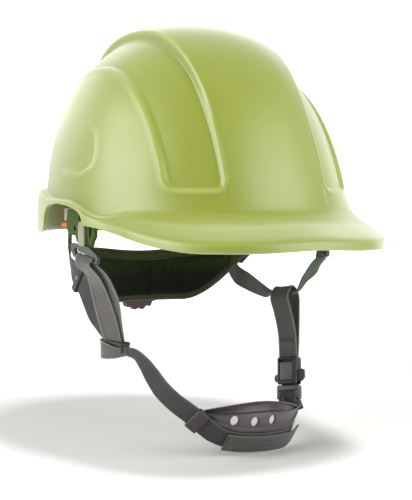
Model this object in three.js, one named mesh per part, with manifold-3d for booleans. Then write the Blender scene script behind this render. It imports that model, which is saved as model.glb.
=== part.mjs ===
// Arborist's climbing helmet: a moulded shell with a raised crest, a textile crown cradle, a headband
// with a ratchet at the nape, and a four-point chin strap with a side-release buckle and a chin cup.
// Units are millimetres. +X is the wearer's left, -Y is the front, +Z is up. The origin is the middle
// of the headband, level with the lowest point of the peak.
import * as THREE from "three";
import { mergeVertices } from "three/addons/utils/BufferGeometryUtils.js";
import Module from "manifold-3d";

const wasm = await Module();
wasm.setup();

// ---------------------------------------------------------------- driving dimensions
const DOME = { halfWidth: 110.4, halfLength: 126.6, height: 165.5, centreY: 9.2, lean: 24.2 };
const DOME_SHAPE = { plan: 2.14, rise: 2.18, shoulder: 2.62 };
const WALL = 3;
const CREST = { halfWidth: 38.5, bevel: 3.5, low: 0.6, high: 5.2 };
const CHANNEL = { outer: 74.5, depth: 2.3, edgeZ: 44, rearZ: 96 };
const ZONE_Z = 50; // above this height the shell is lofted front to back, below it round the rim
const PEAK_OVERHANG = 35;
const SKIRT_OVERHANG = 6.8;
const CLIP_Z = 46;
const CRADLE_TOP = 134;
const BAND = { halfWidth: 77, front: 90, rear: 97, thickness: 2.2 };
const NAPE = { halfWidth: 80.4, centreY: 20, rear: 97, thickness: 2.4, armLength: 60 };
const WEBBING = { width: 16, thickness: 1.2 };
const GAP = 0.35;
const PINION = { teeth: 12, pitchRadius: 6, addendum: 0.8, dedendum: 1.1 };
const RATCHET = { y: 99.8, z: -36, halfWidth: 35, halfHeight: 13, knobRadius: 20.5, knobDepth: 10 };
const BUCKLE = { width: 19, thickness: 9, length: 22, mouth: -11 };
const CUP = { halfWidth: 47, thickness: 2.6, holeRadius: 3.6, rimHeight: 3, sleeveEnd: -0.81 };
const CUP_HOLES = [
  [-18.7, -119.6],
  [-3.3, -121.4],
  [12.1, -121.5],
];

// ---------------------------------------------------------------- materials
const plastic = (color, roughness = 0.45) =>
  new THREE.MeshStandardMaterial({ color, roughness, metalness: 0 });
const SHELL_GREEN = plastic(0xb9c86a, 0.25);
const BLACK_PLASTIC = plastic(0x2a2a28, 0.5);
const GREY_PLASTIC = plastic(0x6d6f6a, 0.5);
const ORANGE_PLASTIC = plastic(0xd9541e, 0.5);
const WEB_GREY = plastic(0x5a5c58, 0.9);
const CRADLE_GREY = plastic(0xb9aeaa, 0.9);
const FOAM = plastic(0x1d1f1c, 0.95);
const CUP_BROWN = plastic(0x4c4340, 0.6);

// ---------------------------------------------------------------- geometry helpers
const V = (x, y, z) => new THREE.Vector3(x, y, z);
const { clamp, lerp, smoothstep: rawStep, degToRad } = THREE.MathUtils;
const step = (low, high, value) => rawStep(value, low, high);
const helmet = new THREE.Group();

function add(name, geometry, material, parent = helmet) {
  const mesh = new THREE.Mesh(geometry, material);
  mesh.name = name;
  parent.add(mesh);
  return mesh;
}

// An indexed geometry whose faces point out, whichever way round its triangles were listed.
function closedGeometry(points, triangles) {
  let volume = 0;
  for (const [a, b, c] of triangles)
    volume += points[a].dot(new THREE.Vector3().crossVectors(points[b], points[c]));
  const index = volume < 0 ? triangles.map(([a, b, c]) => [a, c, b]) : triangles;
  return new THREE.BufferGeometry().setFromPoints(points).setIndex(index.flat());
}

// Joins a row of polygons, all with the same number of corners, into one closed solid.
function loft(sections) {
  const corners = sections[0].length;
  const triangles = [];
  sections.slice(1).forEach((_, row) => {
    for (let i = 0; i < corners; i++) {
      const a = row * corners + i;
      const b = row * corners + ((i + 1) % corners);
      triangles.push([a, b, b + corners], [a, b + corners, a + corners]);
    }
  });
  const last = (sections.length - 1) * corners;
  for (let i = 1; i + 1 < corners; i++)
    triangles.push([0, i + 1, i], [last, last + i, last + i + 1]);
  return closedGeometry(sections.flat(), triangles);
}

// Webbing: a flat band along a smooth route. across holds the direction of its width, either one for the
// whole band or one for each point of the route, and widths its share of the full width at each point.
function ribbon(route, across, { steps = 24, widths = [1, 1], size = WEBBING } = {}) {
  const path = new THREE.CatmullRomCurve3(route);
  const turn = new THREE.CatmullRomCurve3(Array.isArray(across) ? across : [across, across]);
  const share = new THREE.SplineCurve(widths.map((w, i) => new THREE.Vector2(i, w)));
  return loft(
    Array.from({ length: steps + 1 }, (_, i) => {
      const t = i / steps;
      const centre = path.getPoint(t);
      const tangent = path.getTangent(t);
      const side = turn.getPoint(t);
      side.addScaledVector(tangent, -side.dot(tangent)).normalize();
      const up = new THREE.Vector3().crossVectors(tangent, side).multiplyScalar(size.thickness / 2);
      side.multiplyScalar((size.width / 2) * share.getPoint(t).y);
      return [
        [1, 1],
        [-1, 1],
        [-1, -1],
        [1, -1],
      ].map(([s, u]) => centre.clone().addScaledVector(side, s).addScaledVector(up, u));
    }),
  );
}

// A standing band round part of the head: plan gives a point for each angle, zRange its two edges.
function standingBand(plan, fromDeg, toDeg, zRange, thickness, steps) {
  return loft(
    Array.from({ length: steps + 1 }, (_, i) => {
      const angle = degToRad(lerp(fromDeg, toDeg, i / steps));
      const inside = plan(angle);
      const ahead = plan(angle + 0.01);
      const out = V(ahead.y - inside.y, -(ahead.x - inside.x), 0).normalize();
      if (out.x * inside.x + out.y * inside.y < 0) out.negate();
      const [low, high] = zRange(Math.abs(THREE.MathUtils.radToDeg(angle)));
      const corner = (far, z) => V(inside.x + out.x * far, inside.y + out.y * far, z);
      return [corner(0, low), corner(thickness, low), corner(thickness, high), corner(0, high)];
    }),
  );
}

const box = (x, y, z, at = [0, 0, 0]) => new THREE.BoxGeometry(x, y, z).translate(...at);

// A cylinder whose axis is Y.
const rod = (radius, length, at, sides = 24) =>
  new THREE.CylinderGeometry(radius, radius, length, sides).translate(...at);

// An outline drawn in X and Z, made solid between two depths in Y.
const slab = (shape, near, far, curveSegments = 6) =>
  new THREE.ExtrudeGeometry(shape, { depth: far - near, bevelEnabled: false, curveSegments })
    .rotateX(Math.PI / 2)
    .translate(0, far, 0);

const polygon = (points) => new THREE.Shape(points.map(([x, y]) => new THREE.Vector2(x, y)));

// Places a piece made about its own origin: its X axis along across, its Z axis as near up as it can be.
function placed(geometry, centre, across, up = V(0, 0, 1)) {
  const x = across.clone().normalize();
  const z = up.clone().addScaledVector(x, -up.dot(x)).normalize();
  const y = new THREE.Vector3().crossVectors(z, x);
  return geometry.applyMatrix4(new THREE.Matrix4().makeBasis(x, y, z).setPosition(centre));
}

function toSolid(geometry) {
  const bare = new THREE.BufferGeometry().setAttribute("position", geometry.getAttribute("position"));
  bare.setIndex(geometry.index);
  const merged = mergeVertices(bare, 1e-3);
  return new wasm.Manifold(
    new wasm.Mesh({
      numProp: 3,
      vertProperties: new Float32Array(merged.attributes.position.array),
      triVerts: new Uint32Array(merged.index.array),
    }),
  );
}

function toGeometry(solid) {
  const { vertProperties, triVerts } = solid.getMesh();
  return new THREE.BufferGeometry()
    .setAttribute("position", new THREE.BufferAttribute(vertProperties, 3))
    .setIndex(new THREE.BufferAttribute(triVerts, 1));
}

const union = (...parts) => toGeometry(parts.map(toSolid).reduce((a, b) => a.add(b)));
const cut = (body, ...tools) =>
  toGeometry(tools.map(toSolid).reduce((a, b) => a.subtract(b), toSolid(body)));

// ---------------------------------------------------------------- shell
const domeScale = (z) => {
  const share = clamp(z / DOME.height, 0, 1);
  return (1 - share ** DOME_SHAPE.rise) ** (1 / DOME_SHAPE.shoulder);
};
const domeCentre = (z) => DOME.centreY + (DOME.lean * z) / DOME.height;
const domeTop = (x) =>
  DOME.height *
  (1 - (Math.abs(x) / DOME.halfWidth) ** DOME_SHAPE.shoulder) ** (1 / DOME_SHAPE.rise);

// The smooth dome at a plan angle, 0 at the front and positive towards the wearer's left.
function domeAt(angle, z) {
  const n = DOME_SHAPE.plan;
  const reach = (Math.abs(Math.cos(angle)) ** n + Math.abs(Math.sin(angle)) ** n) ** (-1 / n);
  return V(
    DOME.halfWidth * domeScale(z) * reach * Math.sin(angle),
    domeCentre(z) - DOME.halfLength * domeScale(z) * reach * Math.cos(angle),
    z,
  );
}

// How far the crest stands proud of the dome, and the channel beside it lies below.
function relief({ x, y, z }) {
  const across = Math.abs(x);
  const height = lerp(CREST.low, CREST.high, step(70, 160, z)) * step(24, 50, z);
  const crest = height * (1 - step(CREST.halfWidth, CREST.halfWidth + CREST.bevel, across));
  const inChannel =
    step(CREST.halfWidth, CREST.halfWidth + CREST.bevel, across) *
    (1 - step(CHANNEL.outer - 2, CHANNEL.outer, across));
  const floor = y < domeCentre(z) ? CHANNEL.edgeZ : CHANNEL.rearZ;
  return crest - CHANNEL.depth * inChannel * step(floor, floor + 3, z);
}

function domeNormal({ x, y, z }) {
  const outward = V(x / DOME.halfWidth ** 2, (y - domeCentre(z)) / DOME.halfLength ** 2, 0);
  outward.z = (z / DOME.height) ** 1.6 / DOME.height;
  return outward.normalize();
}

// Lines across the dome run front to back at these distances from its middle.
const COLUMN_X = [0, 13, 26, 38.5, 42, 58, 72.5, 74.6, 83, 90, 96, 100.5, 104];
const CROWN_ROWS = 7;

// One front-to-back line over the crown, from the zone height at the front to the same at the back.
function crownLine(x, inset) {
  const top = domeTop(x);
  const points = [];
  for (let j = 0; j <= 2 * CROWN_ROWS; j++) {
    const front = j < CROWN_ROWS;
    const rise = Math.sin((Math.PI / 2) * (1 - Math.abs(j - CROWN_ROWS) / CROWN_ROWS));
    const z = lerp(ZONE_Z, top, rise);
    const n = DOME_SHAPE.plan;
    const square = Math.max(domeScale(z) ** n - (Math.abs(x) / DOME.halfWidth) ** n, 0);
    const reach = j === CROWN_ROWS ? 0 : DOME.halfLength * square ** (1 / n);
    const p = V(x, domeCentre(z) + (front ? -reach : reach), z);
    points.push(p.clone().addScaledVector(domeNormal(p), relief(p) - inset));
  }
  return points;
}

// Height of the lower edge, round the rim from the front (0 degrees) to the back (180).
const edgeZ = (a) =>
  3 + 1.5 * (1 - step(0, 18, a)) + 16.5 * step(30, 78, a) - 7.5 * step(80, 116, a);
// Height of the ledge where the wall steps out into the skirt behind the peak.
const ledgeZ = (a) => 18 + 19 * step(56, 88, a) + 8 * step(92, 116, a);
const peakReach = (a) => lerp(PEAK_OVERHANG, SKIRT_OVERHANG, step(18, 70, a));

// Rim rows from the crown down to the edge and back up inside. Each row gives, for the peak, a share of
// its overhang, millimetres added to that and a share of the height from edge to wall; and for the
// skirt, its own offset, a share of the height from edge to ledge and millimetres added to that.
const RIM_ROWS = [
  { peak: [0, 0, 1.15], skirt: [0, 1, 3.5] },
  { peak: [0, 0, 1], skirt: [0, 1, 2.2] },
  { peak: [0.01, 0, 0.84], skirt: [0, 1, 1] },
  { peak: [0.04, 0, 0.68], skirt: [1.2, 1, 0] },
  { peak: [0.12, 0, 0.56], skirt: [5, 1, -0.8] },
  { peak: [0.3, 0, 0.44], skirt: [6.6, 1, -2.6] },
  { peak: [0.62, 0, 0.32], skirt: [6.8, 0.7, 0] },
  { peak: [0.9, 0, 0.205], skirt: [7, 0.5, 0] },
  { peak: [0.985, 0, 0.14], skirt: [7.1, 0.3, 0] },
  { peak: [1, 0, 0.07], skirt: [7.2, 0.15, 0] },
  { peak: [1, 0, 0], skirt: [7.2, 0, 0] },
  { peak: [1, -3, 0], skirt: [4.2, 0, 0] },
  { peak: [1, -3.4, 0.06], skirt: [4, 0.5, 0] },
  { peak: [0.85, -1, 0.14], skirt: [3.8, 1, -5.5] },
  { peak: [0.3, -1, 0.36], skirt: [-2, 1, -4.2] },
  { peak: [0.04, -3.4, 0.6], skirt: [-WALL, 1, -2.5] },
  { peak: [0, -WALL, 1], skirt: [-WALL, 1, 2.5] },
];
const WALL_FOOT_Z = 44;

function rimPoint(angle, { peak, skirt }) {
  const around = Math.abs(THREE.MathUtils.radToDeg(angle));
  const edge = edgeZ(around);
  const toSkirt = step(50, 74, around);
  const peakOut = peak[0] * peakReach(around) + peak[1];
  const peakZ = edge + peak[2] * (WALL_FOOT_Z - edge);
  const skirtZ = edge + skirt[1] * (ledgeZ(around) - edge) + skirt[2];
  const z = lerp(peakZ, skirtZ, toSkirt);
  const wall = domeAt(angle, z);
  const out = V(wall.x / DOME.halfWidth ** 2, (wall.y - domeCentre(z)) / DOME.halfLength ** 2, 0);
  return wall.addScaledVector(out.normalize(), lerp(peakOut, skirt[0], toSkirt) + relief(wall));
}

// The plan angle at which a front-to-back line meets the zone height.
function angleOf(x, rear) {
  const n = DOME_SHAPE.plan;
  const scale = domeScale(ZONE_Z);
  const across = Math.abs(x) / (DOME.halfWidth * scale);
  const along = Math.max(1 - across ** n, 0) ** (1 / n);
  return Math.sign(x) * Math.atan2(across, rear ? -along : along);
}

function shellGeometry() {
  const pole = DOME.halfWidth * domeScale(ZONE_Z);
  const half = [...COLUMN_X, pole];
  const lines = [...half.slice(1).reverse().map((x) => -x), ...half];
  const last = lines.length - 1;
  const rows = 2 * CROWN_ROWS;
  const points = [];
  const triangles = [];
  const quad = (a, b, c, d) => triangles.push([a, b, c], [a, c, d]);

  // One skin of the crown. Returns the numbers of its rim vertices, in order round the head.
  function crownSkin(inset) {
    const number = lines.map((x, i) => {
      const line = crownLine(x, inset);
      if (i > 0 && i < last) return line.map((p) => points.push(p) - 1);
      const only = points.push(line[0]) - 1;
      return line.map(() => only);
    });
    for (let i = 0; i < last; i++)
      for (let j = 0; j < rows; j++) {
        const [a, b, c, d] = [
          number[i][j],
          number[i + 1][j],
          number[i + 1][j + 1],
          number[i][j + 1],
        ];
        const face = inset ? [d, c, b, a] : [a, b, c, d];
        const [p, q, r, s] = face;
        if (p !== q && q !== r && p !== r) triangles.push([p, q, r]);
        if (p !== r && r !== s && p !== s) triangles.push([p, r, s]);
      }
    const frontRim = number.map((line) => line[0]);
    const rearRim = number.slice(1, last).map((line) => line[rows]);
    return [...frontRim, ...rearRim.reverse()];
  }

  const outer = crownSkin(0);
  const inner = crownSkin(WALL);
  const angles = [
    ...lines.map((x) => angleOf(x, false)),
    ...lines.slice(1, last).reverse().map((x) => angleOf(x || 1e-9, true)),
  ];
  const rings = [
    outer,
    ...RIM_ROWS.map((row) => angles.map((angle) => points.push(rimPoint(angle, row)) - 1)),
    inner,
  ];
  rings.slice(1).forEach((ring, r) => {
    const above = rings[r];
    ring.forEach((_, i) => {
      const next = (i + 1) % ring.length;
      quad(above[i], ring[i], ring[next], above[next]);
    });
  });
  return closedGeometry(points, triangles);
}

// The arch cut in each side of the skirt over the ear, drawn in the Y-Z plane.
function earArches() {
  const arch = new THREE.Shape();
  arch.moveTo(39, -4);
  arch.lineTo(39, 16);
  arch.bezierCurveTo(38, 28, 30, 34.5, 17, 34.5);
  arch.bezierCurveTo(5, 34.5, -10, 32.5, -19, 28);
  arch.bezierCurveTo(-23, 26, -25, 22, -26, -4);
  const across = 2 * (DOME.halfWidth + 30);
  const cutter = new THREE.ExtrudeGeometry(arch, { depth: across, bevelEnabled: false, curveSegments: 7 });
  return cutter
    .translate(0, 0, -across / 2)
    .applyMatrix4(new THREE.Matrix4().makeBasis(V(0, 1, 0), V(0, 0, 1), V(1, 0, 0)));
}

add("shell", cut(shellGeometry(), earArches()), SHELL_GREEN);

// ---------------------------------------------------------------- crown cradle
const CLIPS = { front: 38, side: 90, rear: 142 };
const SIDES = { left: 1, right: -1 };

// Where a key clip sits against the shell's inner wall, and the directions along and out of the wall.
function clipSpot(angle) {
  const centre = domeAt(angle, CLIP_Z);
  const along = domeAt(angle + 0.02, CLIP_Z).sub(centre).setZ(0).normalize();
  const out = V(along.y, -along.x, 0);
  if (out.x * centre.x + out.y * (centre.y - DOME.centreY) < 0) out.negate();
  return { centre: centre.addScaledVector(out, -WALL - 10), along, out };
}

function crownClip(angle) {
  const { centre, along, out } = clipSpot(angle);
  const outward = new THREE.Vector3().crossVectors(V(0, 0, 1), along).dot(out) > 0 ? 1 : -1;
  const body = union(
    box(24, 3, 16),
    box(10, 6, 5, [0, outward * 1.4, 5.4]),
    box(24, 6, 2.4, [0, outward * -1.5, -7.2]),
  );
  return placed(body, centre, along);
}

// One strap of the cradle, between two opposite clips. Layers cross over each other at the crown.
function crownStrap(from, to, layer) {
  const [a, b] = [from, to].map((angle) => {
    const spot = clipSpot(angle);
    return spot.centre.addScaledVector(spot.out, -5).setZ(CLIP_Z - 3);
  });
  const middle = a.clone().add(b).multiplyScalar(0.5);
  const half = a.clone().sub(b).multiplyScalar(0.5);
  const steps = 16;
  const route = Array.from({ length: steps + 1 }, (_, i) => {
    const turn = (Math.PI * i) / steps;
    const reach = Math.sign(Math.cos(turn)) * Math.abs(Math.cos(turn)) ** 0.8;
    const rise = (CRADLE_TOP - middle.z - layer * 1.8) * Math.sin(turn) ** 0.9;
    return middle.clone().addScaledVector(half, reach).add(V(0, 0, rise));
  });
  return ribbon(route, V(half.y, -half.x, 0).normalize(), { size: { width: 19, thickness: 1.2 } });
}

for (const [place, degrees] of Object.entries(CLIPS))
  for (const [side, sign] of Object.entries(SIDES))
    add(`crown_clip_${place}_${side}`, crownClip(sign * degToRad(degrees)), GREY_PLASTIC);
for (const [name, degrees] of Object.entries({ diagonal_left: 38, across: 90, diagonal_right: -38 })) {
  const layer = { diagonal_left: 0, across: 1, diagonal_right: 2 }[name];
  const angle = degToRad(degrees);
  const opposite = degToRad(degrees < 0 ? degrees + 180 : degrees - 180);
  add(`crown_strap_${name}`, crownStrap(angle, opposite, layer), CRADLE_GREY);
}
add(
  "crown_pad",
  new THREE.CylinderGeometry(30, 27, 5, 28)
    .rotateX(Math.PI / 2)
    .translate(0, 18, CRADLE_TOP - 12),
  FOAM,
);

// ---------------------------------------------------------------- headband
const bandPlan = (a) =>
  V(BAND.halfWidth * Math.sin(a), -(Math.cos(a) > 0 ? BAND.front : BAND.rear) * Math.cos(a), 0);
const bandEdges = (a) => [lerp(12, 15, step(30, 95, a)), lerp(42, 37, step(40, 90, a))];

// A leg of the headband, from its outer face to just under a crown clip.
function bandLeg(degrees, footZ) {
  const angle = degToRad(degrees);
  const { centre, along, out } = clipSpot(angle);
  const start = bandPlan(angle).setZ(footZ).addScaledVector(out, 2);
  const end = centre.clone().setZ(CLIP_Z - 11);
  const middle = start.clone().lerp(end, 0.6).setZ(lerp(footZ, end.z, 0.3));
  return ribbon([start, middle, end], along, { steps: 5, size: { width: 13, thickness: 2 } });
}

const LEG_FEET = { front: 25, side: 33.4 };
const legs = Object.entries(LEG_FEET).flatMap(([place, footZ]) =>
  [1, -1].map((sign) => bandLeg(sign * CLIPS[place], footZ)),
);
const band = standingBand(bandPlan, -96, 96, bandEdges, BAND.thickness, 44);
add("headband_front", union(band, ...legs), BLACK_PLASTIC);

const browPlan = (a) => bandPlan(a).multiplyScalar(0.94);
const browEdges = (a) => [lerp(9, 14, step(30, 62, a)), lerp(44, 38, step(20, 62, a))];
add("brow_pad", standingBand(browPlan, -62, 62, browEdges, 3.4, 26), FOAM);

// ---------------------------------------------------------------- nape band and its ratchet
// Straight arms that slide outside the headband's ends, then a cup round the back of the head.
const napePlan = (inset) => (a) => {
  const along = -Math.cos(a);
  const halfWidth = NAPE.halfWidth - inset;
  if (along < 0) return V(Math.sign(Math.sin(a)) * halfWidth, NAPE.centreY + NAPE.armLength * along, 0);
  const depth = NAPE.rear - inset - NAPE.centreY;
  return V(halfWidth * Math.sin(a), NAPE.centreY + depth * along, 0);
};
const fromFront = (a) => (a > 180 ? 360 - a : a);
const napeLow = (a) => lerp(14, -47, step(89, 157, a));
const napeHigh = (a) => lerp(28, -3, step(94, 134, a)) - 5 * step(130, 180, a);
const napeEdges = (a) => [napeLow(fromFront(a)), napeHigh(fromFront(a))];
const napePadEdges = (a) => [napeLow(fromFront(a)) + 5, napeHigh(fromFront(a)) - 4];
add("nape_band", standingBand(napePlan(0), 62, 298, napeEdges, NAPE.thickness, 48), BLACK_PLASTIC);
add("nape_pad", standingBand(napePlan(4.6), 128, 232, napePadEdges, 4, 26), FOAM);

// The two racks run one above and one below the pinion, in a channel across the housing.
const CHANNEL_HALF = PINION.pitchRadius + PINION.dedendum + 4.3;
const RACK_Y = [RATCHET.y + 2, RATCHET.y + 4.2];
const LID_Y = [RATCHET.y + 4.9, RATCHET.y + 6.9];
const KNOB_Y = [LID_Y[1] + GAP, LID_Y[1] + GAP + RATCHET.knobDepth];
const SHAFT_RADIUS = 4;

function rackGeometry(upper) {
  const pitch = (2 * Math.PI * PINION.pitchRadius) / PINION.teeth;
  const tip = PINION.pitchRadius - PINION.addendum;
  const root = PINION.pitchRadius + PINION.dedendum;
  const back = root + 3.8;
  const outline = [
    [46, back],
    [-9.5, back],
  ];
  outline.push([-9.5, root]);
  for (let tooth = -3; tooth < 7; tooth++) {
    const middle = (tooth + 0.5) * pitch;
    outline.push([middle - 0.75, root], [middle - 0.32, tip], [middle + 0.32, tip], [middle + 0.75, root]);
  }
  outline.push([46, root]);
  const solid = slab(polygon(outline), RACK_Y[0], RACK_Y[1]);
  return upper ? solid : solid.rotateY(Math.PI);
}

function pinionShape() {
  const root = PINION.pitchRadius - PINION.dedendum;
  const tip = PINION.pitchRadius + PINION.addendum;
  const points = [];
  for (let tooth = 0; tooth < PINION.teeth; tooth++) {
    const angle = (tooth / PINION.teeth) * 2 * Math.PI;
    for (const [radius, half] of [
      [root, -0.75],
      [tip, -0.32],
      [tip, 0.32],
      [root, 0.75],
    ])
      points.push([radius * Math.cos(angle + half / radius), radius * Math.sin(angle + half / radius)]);
  }
  return polygon(points);
}

function knobShape() {
  const shape = polygon(
    Array.from({ length: 72 }, (_, i) => {
      const angle = (i / 72) * 2 * Math.PI;
      const radius = RATCHET.knobRadius * (1 + 0.045 * Math.cos(18 * angle));
      return [radius * Math.cos(angle), radius * Math.sin(angle)];
    }),
  );
  shape.holes.push(new THREE.Path().absarc(0, 0, SHAFT_RADIUS + GAP, 0, 2 * Math.PI, true));
  return shape;
}

const ratchet = new THREE.Group();
ratchet.position.z = RATCHET.z;
helmet.add(ratchet);
const ratchetBox = (near, far, halfHeight, halfWidth = RATCHET.halfWidth) =>
  box(2 * halfWidth, far - near, 2 * halfHeight, [0, (near + far) / 2, 0]);
add(
  "ratchet_housing",
  cut(
    ratchetBox(RATCHET.y, LID_Y[0] - GAP, RATCHET.halfHeight),
    ratchetBox(RACK_Y[0] - GAP, LID_Y[0] + 1, CHANNEL_HALF, RATCHET.halfWidth + 1),
  ),
  BLACK_PLASTIC,
  ratchet,
);
add(
  "ratchet_cover",
  cut(ratchetBox(...LID_Y, RATCHET.halfHeight), rod(SHAFT_RADIUS + GAP, 8, [0, LID_Y[0], 0])),
  BLACK_PLASTIC,
  ratchet,
);
add("rack_left", rackGeometry(true), GREY_PLASTIC, ratchet);
add("rack_right", rackGeometry(false), GREY_PLASTIC, ratchet);
add(
  "ratchet_pinion",
  union(
    slab(pinionShape(), ...RACK_Y),
    rod(SHAFT_RADIUS, KNOB_Y[1] - RACK_Y[1] - 1, [0, (KNOB_Y[1] - 2 + RACK_Y[1]) / 2, 0]),
  ),
  GREY_PLASTIC,
  ratchet,
);
add("ratchet_knob", slab(knobShape(), ...KNOB_Y, 8), CUP_BROWN, ratchet);

// ---------------------------------------------------------------- strap fittings on the shell
const RING = { x: 104, y: -11, barTop: -5.5, slotTop: -1.5, halfThickness: 1.3 };

// The width of a strap beside the cheek runs this way. Its outer face turns a little to the front.
const strapAcross = (sign) => V(-0.31 * sign, -0.95, 0);
const outward = (sign) => V(0.95 * sign, -0.31, 0);

function hangerGeometry() {
  const outline = polygon([
    [5, 27],
    [-5, 27],
    [-5, 9],
    [-9.5, 5],
    [-11.5, -9],
    [11.5, -9],
    [9.5, 5],
    [5, 9],
  ]);
  outline.holes.push(
    new THREE.Path([
      new THREE.Vector2(-8.6, RING.barTop),
      new THREE.Vector2(8.6, RING.barTop),
      new THREE.Vector2(8.6, RING.slotTop),
      new THREE.Vector2(-8.6, RING.slotTop),
    ]),
  );
  outline.holes.push(new THREE.Path().absarc(0, 15, 2.4, 0, 2 * Math.PI, true));
  return slab(outline, -RING.halfThickness, RING.halfThickness);
}

const ACCESSORY = { x: 103.4, y: 15, z: 24 };
const accessorySocket = () => cut(box(2.8, 22, 14), box(6, 13, 5, [0, 0, -2.4]));

// A slotted bar on the inner wall that the rear strap is sewn round.
const REAR_ANCHOR = V(88, 52, 24);
const rearAnchor = () => cut(box(22, 2.8, 18), box(17, 6, 4, [0, 0, -5]));

for (const [side, sign] of Object.entries(SIDES)) {
  const ring = V(RING.x * sign, RING.y, 0);
  add(`front_hanger_${side}`, placed(hangerGeometry(), ring, strapAcross(sign)), GREY_PLASTIC);
  const anchor = REAR_ANCHOR.clone().multiply(V(sign, 1, 1));
  add(`rear_anchor_${side}`, placed(rearAnchor(), anchor, V(-0.5 * sign, 0.86, 0)), GREY_PLASTIC);
  const socket = accessorySocket().translate(ACCESSORY.x * sign, ACCESSORY.y, ACCESSORY.z);
  add(`accessory_socket_${side}`, socket, ORANGE_PLASTIC);
}

// ---------------------------------------------------------------- straps on the right
// Round the bar of the hanger: up outside it, through the slot and down inside it.
function overBar(sign, outsideDown, insideDown) {
  const ring = V(RING.x * sign, RING.y, 0);
  const at = (out, z) => ring.clone().addScaledVector(outward(sign), out).setZ(z);
  return [...outsideDown, at(2.9, -9), at(2.5, -6), at(0, -3.5), at(-2.5, -6), at(-2.9, -9), ...insideDown];
}

const frontRight = overBar(
  -1,
  [V(-78.5, -3.2, -64.4), V(-85.8, -7.1, -50), V(-92.6, -11.3, -34), V(-99.6, -14.2, -19)],
  [V(-95, -15.6, -19), V(-87.7, -15.6, -34), V(-82.4, -8.2, -50), V(-76.6, -1.9, -64.4)],
);
// Both plies turn a little to the front on their way down.
const turned = [V(0.42, -0.9, 0), V(0.55, -0.83, 0), V(0.42, -0.9, 0)];
const frontTurns = [...turned, ...Array(7).fill(strapAcross(-1)), ...turned.toReversed()];
add("front_strap_right", ribbon(frontRight, frontTurns, { steps: 52 }), CRADLE_GREY);

add(
  "rear_strap_right",
  ribbon(
    [
      V(-88, 52.4, 13.6),
      V(-87.8, 53.4, 2),
      V(-87.6, 53, -10),
      V(-88, 43, -19.5),
      V(-88, 31, -26),
      V(-86, 22, -38),
      V(-83.6, 14.6, -51),
      V(-79.8, 10.8, -59.6),
      V(-75.8, 7.4, -64.6),
    ],
    [
      V(-0.5, -0.86, 0),
      V(-0.5, -0.86, 0),
      V(-0.3, -0.86, -0.2),
      V(0, -0.7, 0.6),
      V(0.1, -0.7, 0.6),
      V(0.31, -0.95, 0.3),
      V(0.31, -0.95, 0),
      V(0.31, -0.95, -0.2),
      V(0.31, -0.95, -0.2),
    ],
    { steps: 34 },
  ),
  WEB_GREY,
);

const SLIDER = V(-76.8, -1, -72);
const sliderGeometry = () =>
  cut(box(22, 10.4, 9.6, [0, 0, 0]), box(17, 5, 5, [0, 3.2, -3.6]), box(17, 5, 5, [0, -3.2, 3.6]));
add("slider_right", placed(sliderGeometry(), SLIDER, strapAcross(-1)), BLACK_PLASTIC);

// ---------------------------------------------------------------- straps on the left
const BUCKLE_UP = V(0.15, 0.23, 0.96).normalize();
const BUCKLE_ACROSS = V(0.449, -0.894, 0).addScaledVector(BUCKLE_UP, -0.449 * 0.15 + 0.894 * 0.23);
const BUCKLE_AT = V(71.2, -11, -99.5);

const frontLeft = overBar(
  1,
  [
    V(88.4, 51.8, 12.4),
    V(88.5, 53.6, 6),
    V(88.4, 60, -1),
    V(86, 78, -6),
    V(81, 90, -19),
    V(79.5, 82, -27.5),
    V(79.2, 61, -33.6),
    V(75.4, 36, -38),
    V(70.6, 17.5, -39.6),
    V(67.7, 4.1, -38.4),
    V(71.1, -5, -39),
    V(76, -14.5, -36.4),
    V(84, -15, -26),
    V(97, -12.5, -16),
  ],
  [V(99, -10, -16), V(97, -9.6, -20)],
);
add(
  "v_strap_left",
  ribbon(
    frontLeft,
    [
      V(0.5, -0.86, 0),
      V(0.45, -0.88, 0),
      V(0.4, -0.9, 0.1),
      V(0.2, -0.8, 0.5),
      V(0.1, -0.3, 0.95),
      V(0, 0, 1),
      V(0, 0, 1),
      V(0, 0, 1),
      V(0.4, 0, 0.9),
      V(0.87, 0.42, 0.2),
      V(0.89, 0.45, 0),
      V(0.85, 0.5, 0),
      V(0.5, 0.8, 0),
      ...Array(8).fill(V(0.31, 0.95, 0)),
    ],
    { steps: 76, widths: [1, 1, 1, 1, 1, 1, 0.95, 0.7, 0.46, 0.3, 0.28, 0.3, 0.7, 1, 1, 1, 1, 1, 1, 1, 1] },
  ),
  WEB_GREY,
);

// A loop of webbing over the bend of the V strap, sewn together above the buckle.
add(
  "drop_loop_left",
  ribbon(
    [
      V(72, -8.9, -86.6),
      V(71.6, -9.4, -70),
      V(68.7, -8.6, -52),
      V(66.4, -7.7, -40),
      V(71.2, -5.5, -33),
      V(76, -3.3, -40),
      V(75.3, -5.2, -52),
      V(74.8, -7.6, -70),
      V(74.5, -7.7, -86.6),
    ],
    BUCKLE_ACROSS,
    { steps: 44 },
  ),
  WEB_GREY,
);

// ---------------------------------------------------------------- side-release buckle
const inBuckle = (geometry) => placed(geometry, BUCKLE_AT, BUCKLE_ACROSS, BUCKLE_UP);
const { width: wide, thickness: thick, length: long, mouth } = BUCKLE;

// The mouth is open at the bottom and at both sides, so that the plug and its prongs come straight out.
add(
  "buckle_socket",
  inBuckle(
    cut(
      box(wide, thick, long),
      box(wide - 4, 6.2, 17, [0, 0, mouth + 8]),
      box(wide + 4, 6.2, 13, [0, 0, mouth + 6]),
      box(16.6, thick + 2, 2.6, [0, 0, -mouth - 2.8]),
    ),
  ),
  CUP_BROWN,
);

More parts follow.
